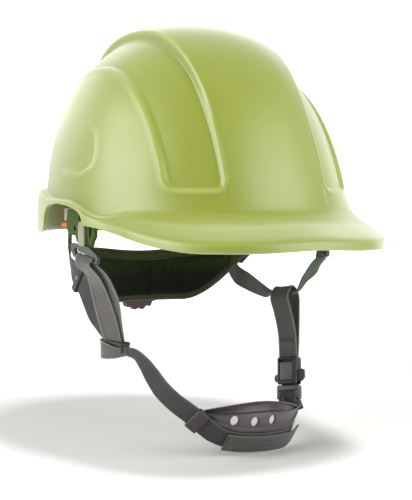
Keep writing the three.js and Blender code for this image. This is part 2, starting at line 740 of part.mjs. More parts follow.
const PLUG_TOP = mouth - 0.5;
add(
  "buckle_plug",
  inBuckle(
    cut(
      union(box(wide, 7.6, 10, [0, 0, PLUG_TOP - 5]), box(2.4, 3, 14, [0, 0, PLUG_TOP + 6.5])),
      box(16.6, 20, 2.4, [0, 0, PLUG_TOP - 3.4]),
      box(16.6, 20, 2.4, [0, 0, PLUG_TOP - 7.6]),
    ),
  ),
  CUP_BROWN,
);

for (const [name, sign] of Object.entries({ front: 1, rear: -1 })) {
  const prong = slab(
    polygon([
      [3.4 * sign, mouth],
      [5.8 * sign, mouth],
      [6.6 * sign, mouth + 2.5],
      [11.6 * sign, mouth + 3.2],
      [12.4 * sign, mouth + 4.6],
      [11 * sign, mouth + 6.6],
      [12 * sign, mouth + 8],
      [6.8 * sign, mouth + 11],
      [4.2 * sign, mouth + 12],
    ]),
    -1.6,
    1.6,
  );
  add(`prong_${name}`, inBuckle(prong), CUP_BROWN);
}

// ---------------------------------------------------------------- chin strap and cup
// How far out from its middle the cup reaches at a share of its width, and the heights of its edges.
const cupY = (u) => -78 + 20 * Math.abs(u) ** 2.2;
const cupTop = (u) => -108.6 - 6.5 * u * u - 3.5 * Math.max(u, 0) ** 2;
const cupBottom = (u) =>
  Math.min(
    -129 + 8.4 * Math.abs(u - 0.35) ** 3.5 + 8 * Math.max(0, (u - 0.85) / 0.15) ** 2,
    cupTop(u) - CUP.rimHeight,
  );

function cupGeometry() {
  const steps = 28;
  const body = loft(
    Array.from({ length: steps + 1 }, (_, i) => {
      const u = lerp(CUP.sleeveEnd, 1, i / steps);
      const x = CUP.halfWidth * u;
      const slope = (cupY(u + 0.01) - cupY(u - 0.01)) / (0.02 * CUP.halfWidth);
      const inward = V(-slope, 1, 0).normalize().multiplyScalar(CUP.thickness);
      const front = [
        V(x, cupY(u) + 1.5 * (1 - u * u), cupBottom(u)),
        V(x, cupY(u) - 0.5, lerp(cupBottom(u), cupTop(u), 0.5)),
        V(x, cupY(u) + 1.5 * (1 - u * u), cupTop(u)),
      ];
      return [...front, ...front.map((p) => p.clone().add(inward)).reverse()];
    }),
  );
  const holes = CUP_HOLES.map(([x, z]) => rod(CUP.holeRadius, 24, [x, cupY(0), z], 20));
  return cut(body, ...holes);
}
add("chin_cup", cupGeometry(), CUP_BROWN);

add(
  "chin_strap",
  ribbon(
    [
      V(-73.2, -15, -73.6),
      V(-71, -24.3, -75),
      V(-68, -32.5, -81.6),
      V(-65, -38.5, -89.5),
      V(-61.6, -45.5, -98),
      V(-55.5, -54.5, -106.8),
      V(-47.1, -62.5, -114.8),
      V(-39.2, -66, -122.4),
      V(-33, -68.5, -128),
      V(-25, -71.5, -132.4),
      V(-13, -74, -135.4),
      V(2.8, -74.6, -136.6),
      V(19, -71, -137.4),
      V(31, -65.6, -137.2),
      V(41, -58, -135.6),
      V(49, -49, -132.6),
      V(55.5, -40.5, -129.6),
      V(62.4, -31.8, -127.4),
      V(66.4, -20.8, -123),
    ],
    [
      V(0, 0, 1),
      V(0, -0.2, 1),
      V(0.23, -0.71, 0.65),
      V(0.23, -0.71, 0.65),
      V(0.2, -0.6, 0.75),
      V(0.1, -0.45, 0.87),
      V(0.1, -0.45, 0.87),
      V(0.1, -0.5, 0.85),
      V(0.1, -0.55, 0.82),
      ...Array(5).fill(V(0, -0.6, 0.8)),
      V(-0.1, -0.55, 0.82),
      V(-0.1, -0.5, 0.85),
      V(0, -0.5, 0.85),
      V(0.3, -0.7, 0.6),
      V(0.449, -0.894, 0.1),
    ],
    { steps: 60, widths: [0.62, 0.72, ...Array(17).fill(1)] },
  ),
  WEB_GREY,
);
add(
  "chin_strap_flap",
  ribbon(
    [
      V(42.5, -60.5, -137.2),
      V(32, -68, -139.2),
      V(20, -73.2, -139.2),
      V(4, -76.8, -138.4),
      V(-12, -76.4, -137.2),
      V(-26.2, -74.2, -134.8),
    ],
    V(0, -0.6, 0.8),
    { steps: 16 },
  ),
  WEB_GREY,
);

// ---------------------------------------------------------------- strap keeper and the cup's sleeve
const keeper = (length, bore) =>
  cut(
    box(WEBBING.width + 4, bore + 3, length),
    box(WEBBING.width + 1, bore, length + 3),
  );
add(
  "strap_keeper",
  placed(keeper(6, 2.4), V(-88.1, 35.2, -23.8), V(0.1, -0.5, 0.8), V(0, 12, 6.6)),
  BLACK_PLASTIC,
);

// The sleeve that holds the cup's end to the chin strap.
const SLEEVE = { at: V(-43.2, -64.5, -118.7), along: V(7.9, -3.7, -7.6), across: V(0.386, -0.616, 0.686) };
add("cup_sleeve", placed(keeper(12, 3.4), SLEEVE.at, SLEEVE.across, SLEEVE.along), CUP_BROWN);

export default helmet;
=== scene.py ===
import math

import bmesh
import bpy
import numpy as np
from mathutils import Matrix, Vector


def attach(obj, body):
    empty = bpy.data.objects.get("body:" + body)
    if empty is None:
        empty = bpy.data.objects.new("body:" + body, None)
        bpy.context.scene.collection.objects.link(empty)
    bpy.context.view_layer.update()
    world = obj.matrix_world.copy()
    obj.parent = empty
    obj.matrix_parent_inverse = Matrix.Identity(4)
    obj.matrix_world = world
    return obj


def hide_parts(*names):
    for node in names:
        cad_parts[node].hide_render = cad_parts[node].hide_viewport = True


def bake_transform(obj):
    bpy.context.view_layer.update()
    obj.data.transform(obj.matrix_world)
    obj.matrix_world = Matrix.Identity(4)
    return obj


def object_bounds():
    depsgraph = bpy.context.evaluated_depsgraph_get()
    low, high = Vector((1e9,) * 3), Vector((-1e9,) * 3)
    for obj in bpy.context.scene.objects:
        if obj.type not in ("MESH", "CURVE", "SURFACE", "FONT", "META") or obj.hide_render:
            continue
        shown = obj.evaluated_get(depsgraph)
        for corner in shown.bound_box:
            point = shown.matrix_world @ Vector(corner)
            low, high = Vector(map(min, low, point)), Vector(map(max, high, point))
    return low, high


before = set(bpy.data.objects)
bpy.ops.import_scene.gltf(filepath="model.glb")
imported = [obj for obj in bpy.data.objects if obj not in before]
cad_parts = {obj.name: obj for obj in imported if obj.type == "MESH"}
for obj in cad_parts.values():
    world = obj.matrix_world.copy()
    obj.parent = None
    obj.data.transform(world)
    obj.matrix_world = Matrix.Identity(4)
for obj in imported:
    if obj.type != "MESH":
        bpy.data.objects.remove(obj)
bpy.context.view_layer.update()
MM = 0.001
WEBBING_WIDTH, WEBBING_THICKNESS = 16, 1.2
CRADLE_WIDTH = 19


def new_object(name, data):
    obj = bpy.data.objects.new(name, data)
    bpy.context.scene.collection.objects.link(obj)
    return obj


# ---------------------------------------------------------------- camera
CAMERA = {"distance": 940, "azimuth": 30.3, "height": 46, "aside": 0.1, "down": 2.93, "lens": 88.49}


def make_camera():
    data = bpy.data.cameras.new("camera")
    camera = new_object("camera", data)
    azimuth = math.radians(CAMERA["azimuth"])
    reach = CAMERA["distance"] * MM
    camera.location = (-math.sin(azimuth) * reach, -math.cos(azimuth) * reach, CAMERA["height"] * MM)
    turn = math.radians(CAMERA["azimuth"] + CAMERA["aside"])
    camera.rotation_euler = (math.radians(90 - CAMERA["down"]), 0, -turn)
    data.lens, data.sensor_width = CAMERA["lens"], 36
    data.clip_start, data.clip_end = 0.02, 30
    bpy.context.scene.camera = camera


make_camera()


# ---------------------------------------------------------------- numbers
def lerp(a, b, t):
    return a + (b - a) * t


def step(low, high, value):
    t = np.clip((value - low) / (high - low), 0, 1)
    return t * t * (3 - 2 * t)


def unit(v):
    v = np.asarray(v, float)
    return v / np.maximum(np.linalg.norm(v, axis=-1, keepdims=True), 1e-12)


def spline(points, t):
    """A centripetal Catmull-Rom curve through the points; t runs from 0 to 1 evenly over its spans."""
    p = np.asarray(points, float)
    p = np.vstack([2 * p[0] - p[1], p, 2 * p[-1] - p[-2]])
    spans = len(p) - 3
    at = np.clip(np.asarray(t, float), 0, 1) * spans
    i = np.minimum(at.astype(int), spans - 1)
    w = (at - i)[:, None]
    p0, p1, p2, p3 = p[i], p[i + 1], p[i + 2], p[i + 3]

    def gap(a, b):
        return np.maximum(np.linalg.norm(a - b, axis=1)[:, None] ** 0.5, 1e-4)

    d0, d1, d2 = gap(p0, p1), gap(p1, p2), gap(p2, p3)
    m1 = ((p1 - p0) / d0 - (p2 - p0) / (d0 + d1) + (p2 - p1) / d1) * d1
    m2 = ((p2 - p1) / d1 - (p3 - p1) / (d1 + d2) + (p3 - p2) / d2) * d1
    return p1 + m1 * w + (3 * (p2 - p1) - 2 * m1 - m2) * w**2 + (2 * (p1 - p2) + m1 + m2) * w**3


def xyz(x, y, z):
    """Three rows or tables of coordinates joined into points."""
    return np.stack(np.broadcast_arrays(x, y, z), -1).astype(float)


UP = np.array([0.0, 0, 1])


# ---------------------------------------------------------------- materials
class Nodes:
    """A material's node tree with short calls for adding and joining nodes."""

    def __init__(self, name):
        self.material = bpy.data.materials.new(name)
        self.material.use_nodes = True
        self.tree = self.material.node_tree
        self.shader = self.tree.nodes["Principled BSDF"]

    def add(self, kind, **settings):
        node = self.tree.nodes.new("ShaderNode" + kind)
        for key, value in settings.items():
            setattr(node, key, value)
        return node

    def link(self, source, target):
        self.tree.links.new(source, target)

    def feed(self, socket, value):
        """Sets a number or a colour, or joins another node's output."""
        if isinstance(value, (int, float)):
            socket.default_value = value
        elif isinstance(value, tuple):
            socket.default_value = (*value, 1)
        elif value is not None:
            self.link(value, socket)

    def math(self, operation, a, b=None, c=None):
        node = self.add("Math", operation=operation)
        for socket, value in zip(node.inputs, (a, b, c)):
            self.feed(socket, value)
        return node.outputs[0]

    def noise(self, scale, detail=3, vector=None, roughness=0.5):
        node = self.add("TexNoise")
        node.inputs["Scale"].default_value = scale
        node.inputs["Detail"].default_value = detail
        node.inputs["Roughness"].default_value = roughness
        self.link(vector or self.place(), node.inputs["Vector"])
        return node.outputs[0]

    def place(self):
        if not hasattr(self, "_place"):
            self._place = self.add("TexCoord").outputs["Object"]
        return self._place

    def height(self):
        split = self.add("SeparateXYZ")
        self.link(self.place(), split.inputs[0])
        return split.outputs[2]

    def share_of_height(self, low, high):
        """0 at the lower of two heights in millimetres, 1 at the upper."""
        span = (high - low) * MM
        return self.math("MULTIPLY_ADD", self.height(), 1 / span, -low * MM / span)

    def ramp(self, factor, stops):
        node = self.add("ValToRGB")
        elements = node.color_ramp.elements
        for _ in stops[2:]:
            elements.new(0.5)
        for element, (position, colour) in zip(elements, stops):
            element.position = position
            element.color = (*colour, 1)
        self.link(factor, node.inputs[0])
        return node.outputs[0]

    def fade(self, factor, low, high, first=0.0, last=1.0):
        """A grey that goes from first to last as the factor goes from low to high."""
        return self.ramp(factor, [(low, (first,) * 3), (high, (last,) * 3)])

    def pointed(self, low, high):
        """1 along sharp edges, 0 elsewhere."""
        return self.fade(self.add("NewGeometry").outputs["Pointiness"], low, high)

    def mix(self, factor, a, b, blend="MIX"):
        node = self.add("Mix", data_type="RGBA", blend_type=blend)
        for number, value in ((0, factor), (6, a), (7, b)):
            self.feed(node.inputs[number], value)
        return node.outputs[2]

    def bump(self, height, distance_mm, strength=1.0, before=None):
        node = self.add("Bump")
        node.inputs["Distance"].default_value = distance_mm * MM
        node.inputs["Strength"].default_value = strength
        self.link(height, node.inputs["Height"])
        if before is not None:
            self.link(before, node.inputs["Normal"])
        return node.outputs[0]

    def finish(self, colour, roughness, normal, **constant):
        self.link(colour, self.shader.inputs["Base Color"])
        self.link(roughness, self.shader.inputs["Roughness"])
        if normal is not None:
            self.link(normal, self.shader.inputs["Normal"])
        for key, value in constant.items():
            self.shader.inputs[key.replace("_", " ")].default_value = value
        return self.material


def tone(colour, factor):
    return tuple(min(c * factor, 1) for c in colour)


def moulded_plastic(name, colour, rough, grain=0.05, worn=1.35, speckle=0.12, painted_shade_bands=None, **constant):
    """Injection-moulded plastic: slight flow clouds, a fine spark-eroded grain and paler worn edges.
    bands gives two heights and the paleness at shares of the height between them: a painted highlight and
    painted shade by height."""
    n = Nodes(name)
    clouds = n.noise(38, 4)
    grains = n.noise(2600, 2)
    shade = n.ramp(clouds, [(0.3, tone(colour, 1 - speckle)), (0.7, tone(colour, 1 + speckle))])
    shade = n.mix(0.5, shade, n.fade(grains, 0.35, 0.7, 0.86), "MULTIPLY")
    # Painted highlight and painted shade: the colour is lightened and darkened by height between the two
    # given heights.
    if painted_shade_bands:
        low, high, stops = painted_shade_bands
        light = n.ramp(n.share_of_height(low, high), [(at, (grey,) * 3) for at, grey in stops])
        shade = n.mix(1.0, shade, n.mix(1.0, light, (1.7, 1.7, 1.7), "MULTIPLY"), "MULTIPLY")
    shade = n.mix(n.math("MULTIPLY", n.pointed(0.53, 0.62), 0.5), shade, tone(colour, worn))
    roughness = n.math("MULTIPLY_ADD", clouds, 0.16, rough - 0.08)
    normal = n.bump(grains, grain, 0.5, n.bump(n.noise(140, 2), 0.12, 0.35))
    return n.finish(shade, roughness, normal, **constant)


def shell_finish():
    """Glossy high-visibility shell: deep coloured plastic with faint orange peel and dust in its haze."""
    n = Nodes("shell_gloss")
    clouds = n.noise(9, 3)
    shade = n.ramp(clouds, [(0.3, (0.200, 0.242, 0.0085)), (0.7, (0.222, 0.266, 0.012))])
    dust = n.fade(n.noise(900, 3, roughness=0.7), 0.58, 0.82)
    shade = n.mix(n.math("MULTIPLY", dust, 0.08), shade, (0.5, 0.56, 0.28))
    shade = n.mix(n.math("MULTIPLY", n.pointed(0.5, 0.56), 0.4), shade, (0.52, 0.60, 0.22))
    scuffs = n.noise(60, 5, roughness=0.65)
    roughness = n.math("MULTIPLY_ADD", scuffs, 0.12, 0.36)
    normal = n.bump(n.noise(420, 1), 0.03, 0.35, n.bump(n.noise(26, 2), 0.5, 0.10))
    return n.finish(
        shade, roughness, normal,
        Coat_Weight=0.3, Coat_Roughness=0.3, Specular_IOR_Level=0.9,
        Sheen_Weight=1.0, Sheen_Roughness=0.42, Sheen_Tint=(1, 1, 0.92, 1),
    )


PICK_PITCH, END_PITCH = 0.95, 0.7


def webbing_fabric(name, warp, weft, selvedge, width=WEBBING_WIDTH, rib=1.5, painted_green_shade=None):
    """Woven strap: a herringbone of warp ends over fine picks, with a denser, paler edge. Its map runs
    across the strap in U and along it in V, both in millimetres. tint paints a green shade close to the
    rim."""
    n = Nodes(name)
    split = n.add("SeparateXYZ")
    n.link(n.add("UVMap", uv_map="weave").outputs[0], split.inputs[0])
    across, along = split.outputs[0], split.outputs[1]
    zigzag = n.math("PINGPONG", across, rib * 1.4)
    diagonal = n.math("ADD", n.math("MULTIPLY", zigzag, 1.2), along)
    twill = n.math("SINE", n.math("MULTIPLY", diagonal, 2 * math.pi / PICK_PITCH))
    ends = n.math("SINE", n.math("MULTIPLY", across, 2 * math.pi / END_PITCH))
    weave = n.math("MULTIPLY_ADD", n.math("MULTIPLY", twill, 0.7), 0.5, n.math("MULTIPLY", ends, 0.18))
    height = n.math("ADD", weave, 0.5)
    fuzz = n.noise(1500, 3)
    body = n.ramp(height, [(0.15, weft), (0.85, warp)])
    body = n.mix(0.35, body, n.ramp(fuzz, [(0.3, tone(warp, 0.72)), (0.75, tone(warp, 1.25))]))
    body = n.mix(1.0, body, n.fade(n.noise(45, 3), 0.3, 0.7, 0.82), "MULTIPLY")
    edge = n.fade(n.math("DIVIDE", n.math("ABSOLUTE", across), width / 2), 0.84, 0.9)
    colour = n.mix(n.math("MULTIPLY", edge, 0.8), body, selvedge)
    # Painted shade: a green cast multiplied in towards the top of the strap, under the shell's rim.
    if painted_green_shade:
        share = n.fade(n.share_of_height(-40, -16), 0, 1)
        colour = n.mix(share, colour, n.mix(1.0, colour, painted_green_shade, "MULTIPLY"))
    roughness = n.math("MULTIPLY_ADD", fuzz, 0.2, 0.68)
    normal = n.bump(height, 0.18, 0.8, n.bump(fuzz, 0.1, 0.5))
    return n.finish(colour, roughness, normal, Sheen_Weight=0.25, Sheen_Roughness=0.45)


def knit_fabric(name, dark, light, mesh_mm=1.6, painted_shade_heights=None):
    """Spacer knit over foam: small open cells, fuzz and a soft sheen. Its colour is darker and less green
    downwards between the two heights in fades: painted shade."""
    n = Nodes(name)
    cells = n.add("TexVoronoi", feature="DISTANCE_TO_EDGE")
    cells.inputs["Scale"].default_value = 1000 / mesh_mm
    cells.inputs["Randomness"].default_value = 0.35
    n.link(n.place(), cells.inputs["Vector"])
    wall = n.fade(cells.outputs["Distance"], 0.05, 0.3, 1, 0)
    fuzz = n.noise(2200, 3)
    colour = n.mix(wall, dark, light)
    colour = n.mix(1.0, colour, n.fade(n.noise(60, 3), 0.3, 0.7, 0.75), "MULTIPLY")
    # Painted shade: darker and less green towards the bottom between the two heights.
    if painted_shade_heights:
        painted_shade_ramp = [(0, (0.18, 0.12, 0.5)), (0.45, (0.3, 0.24, 0.5)), (1, (1, 1, 1))]
        colour = n.mix(1.0, colour, n.ramp(n.share_of_height(*painted_shade_heights), painted_shade_ramp), "MULTIPLY")
    roughness = n.math("MULTIPLY_ADD", fuzz, 0.15, 0.8)
    normal = n.bump(wall, 0.25, 0.7, n.bump(fuzz, 0.12, 0.5))
    return n.finish(
        colour, roughness, normal, Sheen_Weight=0.04, Sheen_Roughness=0.5, Specular_IOR_Level=0.2
    )


SHELL = shell_finish()
BLACK = moulded_plastic("black_nylon", (0.022, 0.022, 0.021), 0.46)
DEEP_GREEN = moulded_plastic("deep_green_nylon", (0.036, 0.072, 0.005), 0.55, Specular_IOR_Level=0.25)
GREY = moulded_plastic("grey_nylon", (0.066, 0.070, 0.058), 0.5)
PALE_GREY = moulded_plastic("pale_grey_nylon", (0.27, 0.28, 0.19), 0.48, worn=1.2)
STONE_GREY = moulded_plastic("stone_grey_nylon", (0.33, 0.27, 0.23), 0.52, worn=1.2)
ORANGE = moulded_plastic("orange_nylon", (0.62, 0.11, 0.018), 0.42)
BROWN = moulded_plastic("brown_rubber", (0.075, 0.046, 0.036), 0.55, grain=0.08)
AUBERGINE = moulded_plastic("aubergine_elastomer", (0.040, 0.034, 0.034), 0.42, grain=0.08)
# The cup panel carries a painted highlight across its middle and painted shade in its upper groove and at
# its lower edge.
CUP_PANEL = moulded_plastic(
    "cup_panel_elastomer", (0.060, 0.049, 0.052), 0.4, grain=0.08,
    painted_shade_bands=(-132, -108, [(0.1, 0.5), (0.42, 1), (0.6, 0.9), (0.85, 0.3)]),
)
BUCKLE_BROWN = moulded_plastic("buckle_acetal", (0.050, 0.044, 0.042), 0.42, Coat_Weight=0.1)
STRAP = webbing_fabric("strap_weave", (0.044, 0.046, 0.042), (0.020, 0.022, 0.020), (0.085, 0.090, 0.083))
WARM_STRAP = webbing_fabric(
    "warm_strap_weave", (0.150, 0.138, 0.128), (0.072, 0.066, 0.061), (0.24, 0.225, 0.21)
)
# The left V strap carries a painted green shade towards its top, under the shell's rim.
V_STRAP = webbing_fabric(
    "v_strap_weave", (0.056, 0.060, 0.052), (0.026, 0.029, 0.025), (0.10, 0.109, 0.097),
    painted_green_shade=(0.55, 1.0, 0.22),
)
LOOP_STRAP = webbing_fabric(
    "loop_strap_weave", (0.105, 0.108, 0.098), (0.052, 0.055, 0.049), (0.17, 0.176, 0.165)
)
FLAP_STRAP = webbing_fabric(
    "flap_strap_weave", (0.072, 0.066, 0.060), (0.036, 0.033, 0.030), (0.12, 0.114, 0.105)
)
CRADLE = webbing_fabric(
    "cradle_weave", (0.30, 0.265, 0.235), (0.2, 0.175, 0.155), (0.36, 0.325, 0.295), CRADLE_WIDTH, 2.2
)
THREAD = moulded_plastic("sewing_thread", (0.16, 0.165, 0.155), 0.7, grain=0.1)
DARK_THREAD = moulded_plastic("dark_sewing_thread", (0.03, 0.032, 0.03), 0.7, grain=0.1)
PAD = knit_fabric("pad_knit", (0.006, 0.008, 0.005), (0.020, 0.024, 0.016))
# The nape pad carries painted shade, darker and less green towards its lower edge.
NAPE_PAD = knit_fabric("nape_pad_knit", (0.014, 0.027, 0.003), (0.040, 0.078, 0.010), painted_shade_heights=(-40, -10))
PIPING = knit_fabric("pad_piping", (0.012, 0.012, 0.011), (0.05, 0.05, 0.046), 0.8)


# ---------------------------------------------------------------- pieces
def enclosed(points, faces):
    """The faces of a closed mesh, turned so that they all look out."""
    p = np.asarray(points, float)
    volume = 0.0
    for size in (3, 4):
        f = np.array([face for face in faces if len(face) == size], int)
        if len(f):
            for k in range(1, size - 1):
                volume += np.einsum("ij,ij->i", p[f[:, 0]], np.cross(p[f[:, k]], p[f[:, k + 1]])).sum()
    return [face[::-1] for face in faces] if volume < 0 else faces


def piece(name, points, faces, material, body=None, replaces=(), uv=None, crease=None):
    """A finished object from points in millimetres, riding on a CAD body."""
    data = bpy.data.meshes.new(name)
    data.from_pydata((np.asarray(points, float) * MM).tolist(), [], [tuple(map(int, f)) for f in faces])
    data.shade_smooth()
    if crease is not None:
        data.set_sharp_from_angle(angle=math.radians(crease))
    if uv is not None:
        layer = data.uv_layers.new(name="weave")
        corners = np.zeros(len(data.loops), int)
        data.loops.foreach_get("vertex_index", corners)
        layer.data.foreach_set("uv", np.asarray(uv, np.float32)[corners].ravel())
    return settle(name, data, material, body, replaces)


def settle(name, data, material, body, replaces=()):
    obj = new_object(name, data)
    data.name = name
    data.materials.clear()
    data.materials.append(material)
    if body is not None:
        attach(obj, body)
    if replaces:
        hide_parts(*replaces)
    return obj


def lofted(rings, closed_path=False):
    """Points and faces of a tube of rings, each a closed row of the same number of points."""
    rings = np.asarray(rings, float)
    count, size = rings.shape[:2]
    faces = []
    for r in range(count if closed_path else count - 1):
        for i in range(size):
            j, a, b = (i + 1) % size, r * size, ((r + 1) % count) * size
            faces.append((a + i, a + j, b + j, b + i))
    points = rings.reshape(-1, 3)
    if not closed_path:
        ends = np.array([rings[0].mean(0), rings[-1].mean(0)])
        first, last = len(points), len(points) + 1
        points = np.vstack([points, ends])
        for i in range(size):
            j, b = (i + 1) % size, (count - 1) * size
            faces.append((first, j, i))
            faces.append((last, b + i, b + j))
    return points, enclosed(points, faces)


# ---------------------------------------------------------------- shell
DOME = {"half_width": 110.4, "half_length": 126.6, "height": 165.5, "centre_y": 9.2, "lean": 24.2}
PLAN, RISE, SHOULDER = 2.14, 2.18, 2.62
WALL = 3
ZONE_Z = 50


def dome_scale(z):
    return (1 - np.clip(z / DOME["height"], 0, 1) ** RISE) ** (1 / SHOULDER)


def dome_centre(z):
    return DOME["centre_y"] + DOME["lean"] * z / DOME["height"]


def dome_top(x):
    return DOME["height"] * (1 - (np.abs(x) / DOME["half_width"]) ** SHOULDER) ** (1 / RISE)


def dome_at(angle, z):
    reach = (np.abs(np.cos(angle)) ** PLAN + np.abs(np.sin(angle)) ** PLAN) ** (-1 / PLAN)
    k = dome_scale(z) * reach
    along = DOME["half_length"] * k * np.cos(angle)
    return xyz(DOME["half_width"] * k * np.sin(angle), dome_centre(z) - along, z)


def dome_normal(p):
    z = (np.clip(p[..., 2], 0, None) / DOME["height"]) ** 1.6 / DOME["height"]
    along = p[..., 1] - dome_centre(p[..., 2])
    return unit(xyz(p[..., 0] / DOME["half_width"] ** 2, along / DOME["half_length"] ** 2, z))


CREST_EDGE, CREST_BEVEL, CREST_LOW, CREST_HIGH = 38.5, 3.5, 0.6, 5.2
CHANNEL_OUTER, CHANNEL_DEPTH, CHANNEL_FRONT_Z, CHANNEL_REAR_Z = 74.8, 2.3, 43.5, 96
CORNER = 7
SIDE_LINE = [(5.6, 97), (-9, 86), (-16.2, 73), (-15.9, 61), (-5.4, 55), (12, 55.6), (26, 56.4)]


def channel_depth(p):
    """How far inside the channel beside the crest a point is, in millimetres; negative outside it."""
    across, z = np.abs(p[..., 0]), p[..., 2]
    inner = CREST_EDGE + CREST_BEVEL - 0.6
    middle, half = (inner + CHANNEL_OUTER) / 2, (CHANNEL_OUTER - inner) / 2
    floor = np.where(p[..., 1] < dome_centre(z), CHANNEL_FRONT_Z, CHANNEL_REAR_Z)
    qx = np.abs(across - middle) - half + CORNER
    qz = floor + CORNER - z
    outside = np.hypot(np.maximum(qx, 0), np.maximum(qz, 0))
    return CORNER - outside - np.minimum(np.maximum(qx, qz), 0)


def side_line(p):
    """The raised line on each side that marks the pocket of the ear-defender arm."""
    path = spline([(y, z, 0) for y, z in SIDE_LINE], np.linspace(0, 1, 90))[:, :2]
    flat = p[..., 1:].reshape(-1, 2)
    near = (np.abs(p[..., 0]) > 85).reshape(-1) & (flat[:, 1] > 48) & (flat[:, 1] < 104)
    value = np.zeros(len(flat))
    if near.any():
        distance = np.linalg.norm(flat[near][:, None] - path[None], axis=2)
        closest = distance.argmin(1)
        fade = step(0, 14, closest) * (1 - step(80, 89, closest))
        value[near] = np.exp(-((distance.min(1) / 1.5) ** 2)) * fade
    return value.reshape(p.shape[:-1])


def relief(p):
    across, z = np.abs(p[..., 0]), p[..., 2]
    height = lerp(CREST_LOW, CREST_HIGH, step(70, 160, z)) * step(24, 50, z)
    bevel = lerp(2.6, 9, step(100, 158, z))
    crest = height * (1 - step(CREST_EDGE, CREST_EDGE + bevel, across))
    inside = channel_depth(p)
    rim = 0.7 * np.exp(-(((inside + 1.1) / 1.2) ** 2)) * step(CREST_EDGE - 2, CREST_EDGE + 1, across)
    floor = CHANNEL_DEPTH * step(-0.2, 2.4, inside)
    return crest - floor + rim + 0.75 * side_line(p)


def edge_z(a):
    return 3 + 1.5 * (1 - step(0, 18, a)) + 16.5 * step(30, 78, a) - 7.5 * step(80, 116, a)


def ledge_z(a):
    return 18 + 19 * step(56, 88, a) + 8 * step(92, 116, a)


def peak_reach(a):
    return lerp(35, 6.8, step(18, 70, a))


# The arch over each ear, as points in Y and Z from its front foot over the top to its rear foot.
ARCH = [(-26.5, -4), (-25.2, 10), (-23.6, 20), (-19.5, 27.5), (-10, 31.5), (3, 33.6), (16, 34.4)]
ARCH += [(26, 33), (33.5, 28.5), (37.2, 22), (38.6, 14), (39.4, -4)]


def arch_z(y):
    path = spline([(a, b, 0) for a, b in ARCH], np.linspace(0, 1, 400))
    return np.interp(y, path[:, 0], path[:, 1], left=-9, right=-9)


# From the crown down outside, round the edge and up inside. For the peak: a share of its overhang,
# millimetres added and a share of the height from edge to wall. For the skirt: its offset, a share of
# the height from edge to ledge and millimetres added.
RIM_ROWS = [
    (0, 0, 1.07, 0, 1, 3.4), (0, 0, 1, 0, 1, 2.2), (0.01, 0, 0.84, 0, 1, 1), (0.04, 0, 0.68, 1.2, 1, 0),
    (0.12, 0, 0.56, 5, 1, -0.8), (0.3, 0, 0.44, 6.6, 1, -2.6), (0.62, 0, 0.32, 6.8, 0.7, 0),
    (0.9, 0, 0.205, 7, 0.5, 0), (0.985, 0, 0.14, 7.1, 0.3, 0), (1, 0, 0.07, 7.2, 0.15, 0),
    (1, 0, 0.015, 7.2, 0.03, 0), (1, -0.5, -0.005, 6.7, 0, 0), (1, -2.4, -0.005, 4.9, 0, 0),
    (1, -3.1, 0.015, 4.2, 0.04, 0), (1, -3.4, 0.06, 4, 0.5, 0), (0.85, -1, 0.14, 3.8, 1, -5.5),
    (0.3, -1, 0.36, -2, 1, -4.2), (0.04, -3.4, 0.6, -WALL, 1, -2.5), (0, -WALL, 1, -WALL, 1, 2.5),
]
WALL_FOOT_Z = 44
RIM_STEPS = 4


def rim_points(angle, row):
    around = np.abs(np.degrees(angle))
    peak_share, peak_add, peak_z, skirt_add, skirt_share, skirt_z = row
    plain = edge_z(around)
    beside = dome_at(angle, plain)[..., 1]
    edge = np.maximum(plain, np.where((around > 60) & (around < 125), arch_z(beside), -9))
    to_skirt = step(50, 74, around)
    peak_out = peak_share * peak_reach(around) + peak_add
    over = ledge_z(around) - edge
    tall = np.clip(over / 12, 0.05, 1)
    low = edge + peak_z * (WALL_FOOT_Z - edge)
    high = edge + skirt_share * over + skirt_z * (tall if skirt_z < 0 else 1)
    z = lerp(low, high, to_skirt)
    wall = dome_at(angle, z)
    out = dome_normal(wall) * (1, 1, 0)
    outside = peak_add >= -0.6
    offset = lerp(peak_out, skirt_add, to_skirt) + (relief(wall) if outside else 0)
    return wall + unit(out) * np.asarray(offset)[..., None]


def column_places():
    pole = DOME["half_width"] * dome_scale(ZONE_Z)
    z = np.linspace(ZONE_Z, dome_top(78.0), 400)
    section = DOME["half_width"] * dome_scale(z)
    run = np.concatenate([[0], np.cumsum(np.hypot(np.diff(section), np.diff(z)))])
    sides = np.interp(np.linspace(0, run[-1], 47), run, section)[::-1]
    spaced = [(0, 36, 3), (36, 45.5, 0.8), (46.5, 71, 2.3), (71.5, 77, 0.8)]
    half = np.concatenate([np.arange(*run) for run in spaced] + [sides[:-1], [pole]])
    return np.concatenate([-half[:0:-1], half])


CROWN_ROWS = 82


def crown_lines(x, inset):
    """Lines over the crown from front to back, one for each place across, as an array of points."""
    j = np.arange(2 * CROWN_ROWS + 1)
    rise = np.sin(np.pi / 2 * (1 - np.abs(j - CROWN_ROWS) / CROWN_ROWS))
    top = dome_top(x)
    z = ZONE_Z + (top[:, None] - ZONE_Z) * rise[None]
    square = np.maximum(dome_scale(z) ** PLAN - (np.abs(x)[:, None] / DOME["half_width"]) ** PLAN, 0)
    reach = DOME["half_length"] * square ** (1 / PLAN)
    reach[:, CROWN_ROWS] = 0
    sign = np.where(j < CROWN_ROWS, -1, 1)[None]
    p = xyz(x[:, None], dome_centre(z) + sign * reach, z)
    offset = -inset if inset else relief(p)[..., None]
    return p + dome_normal(p) * offset


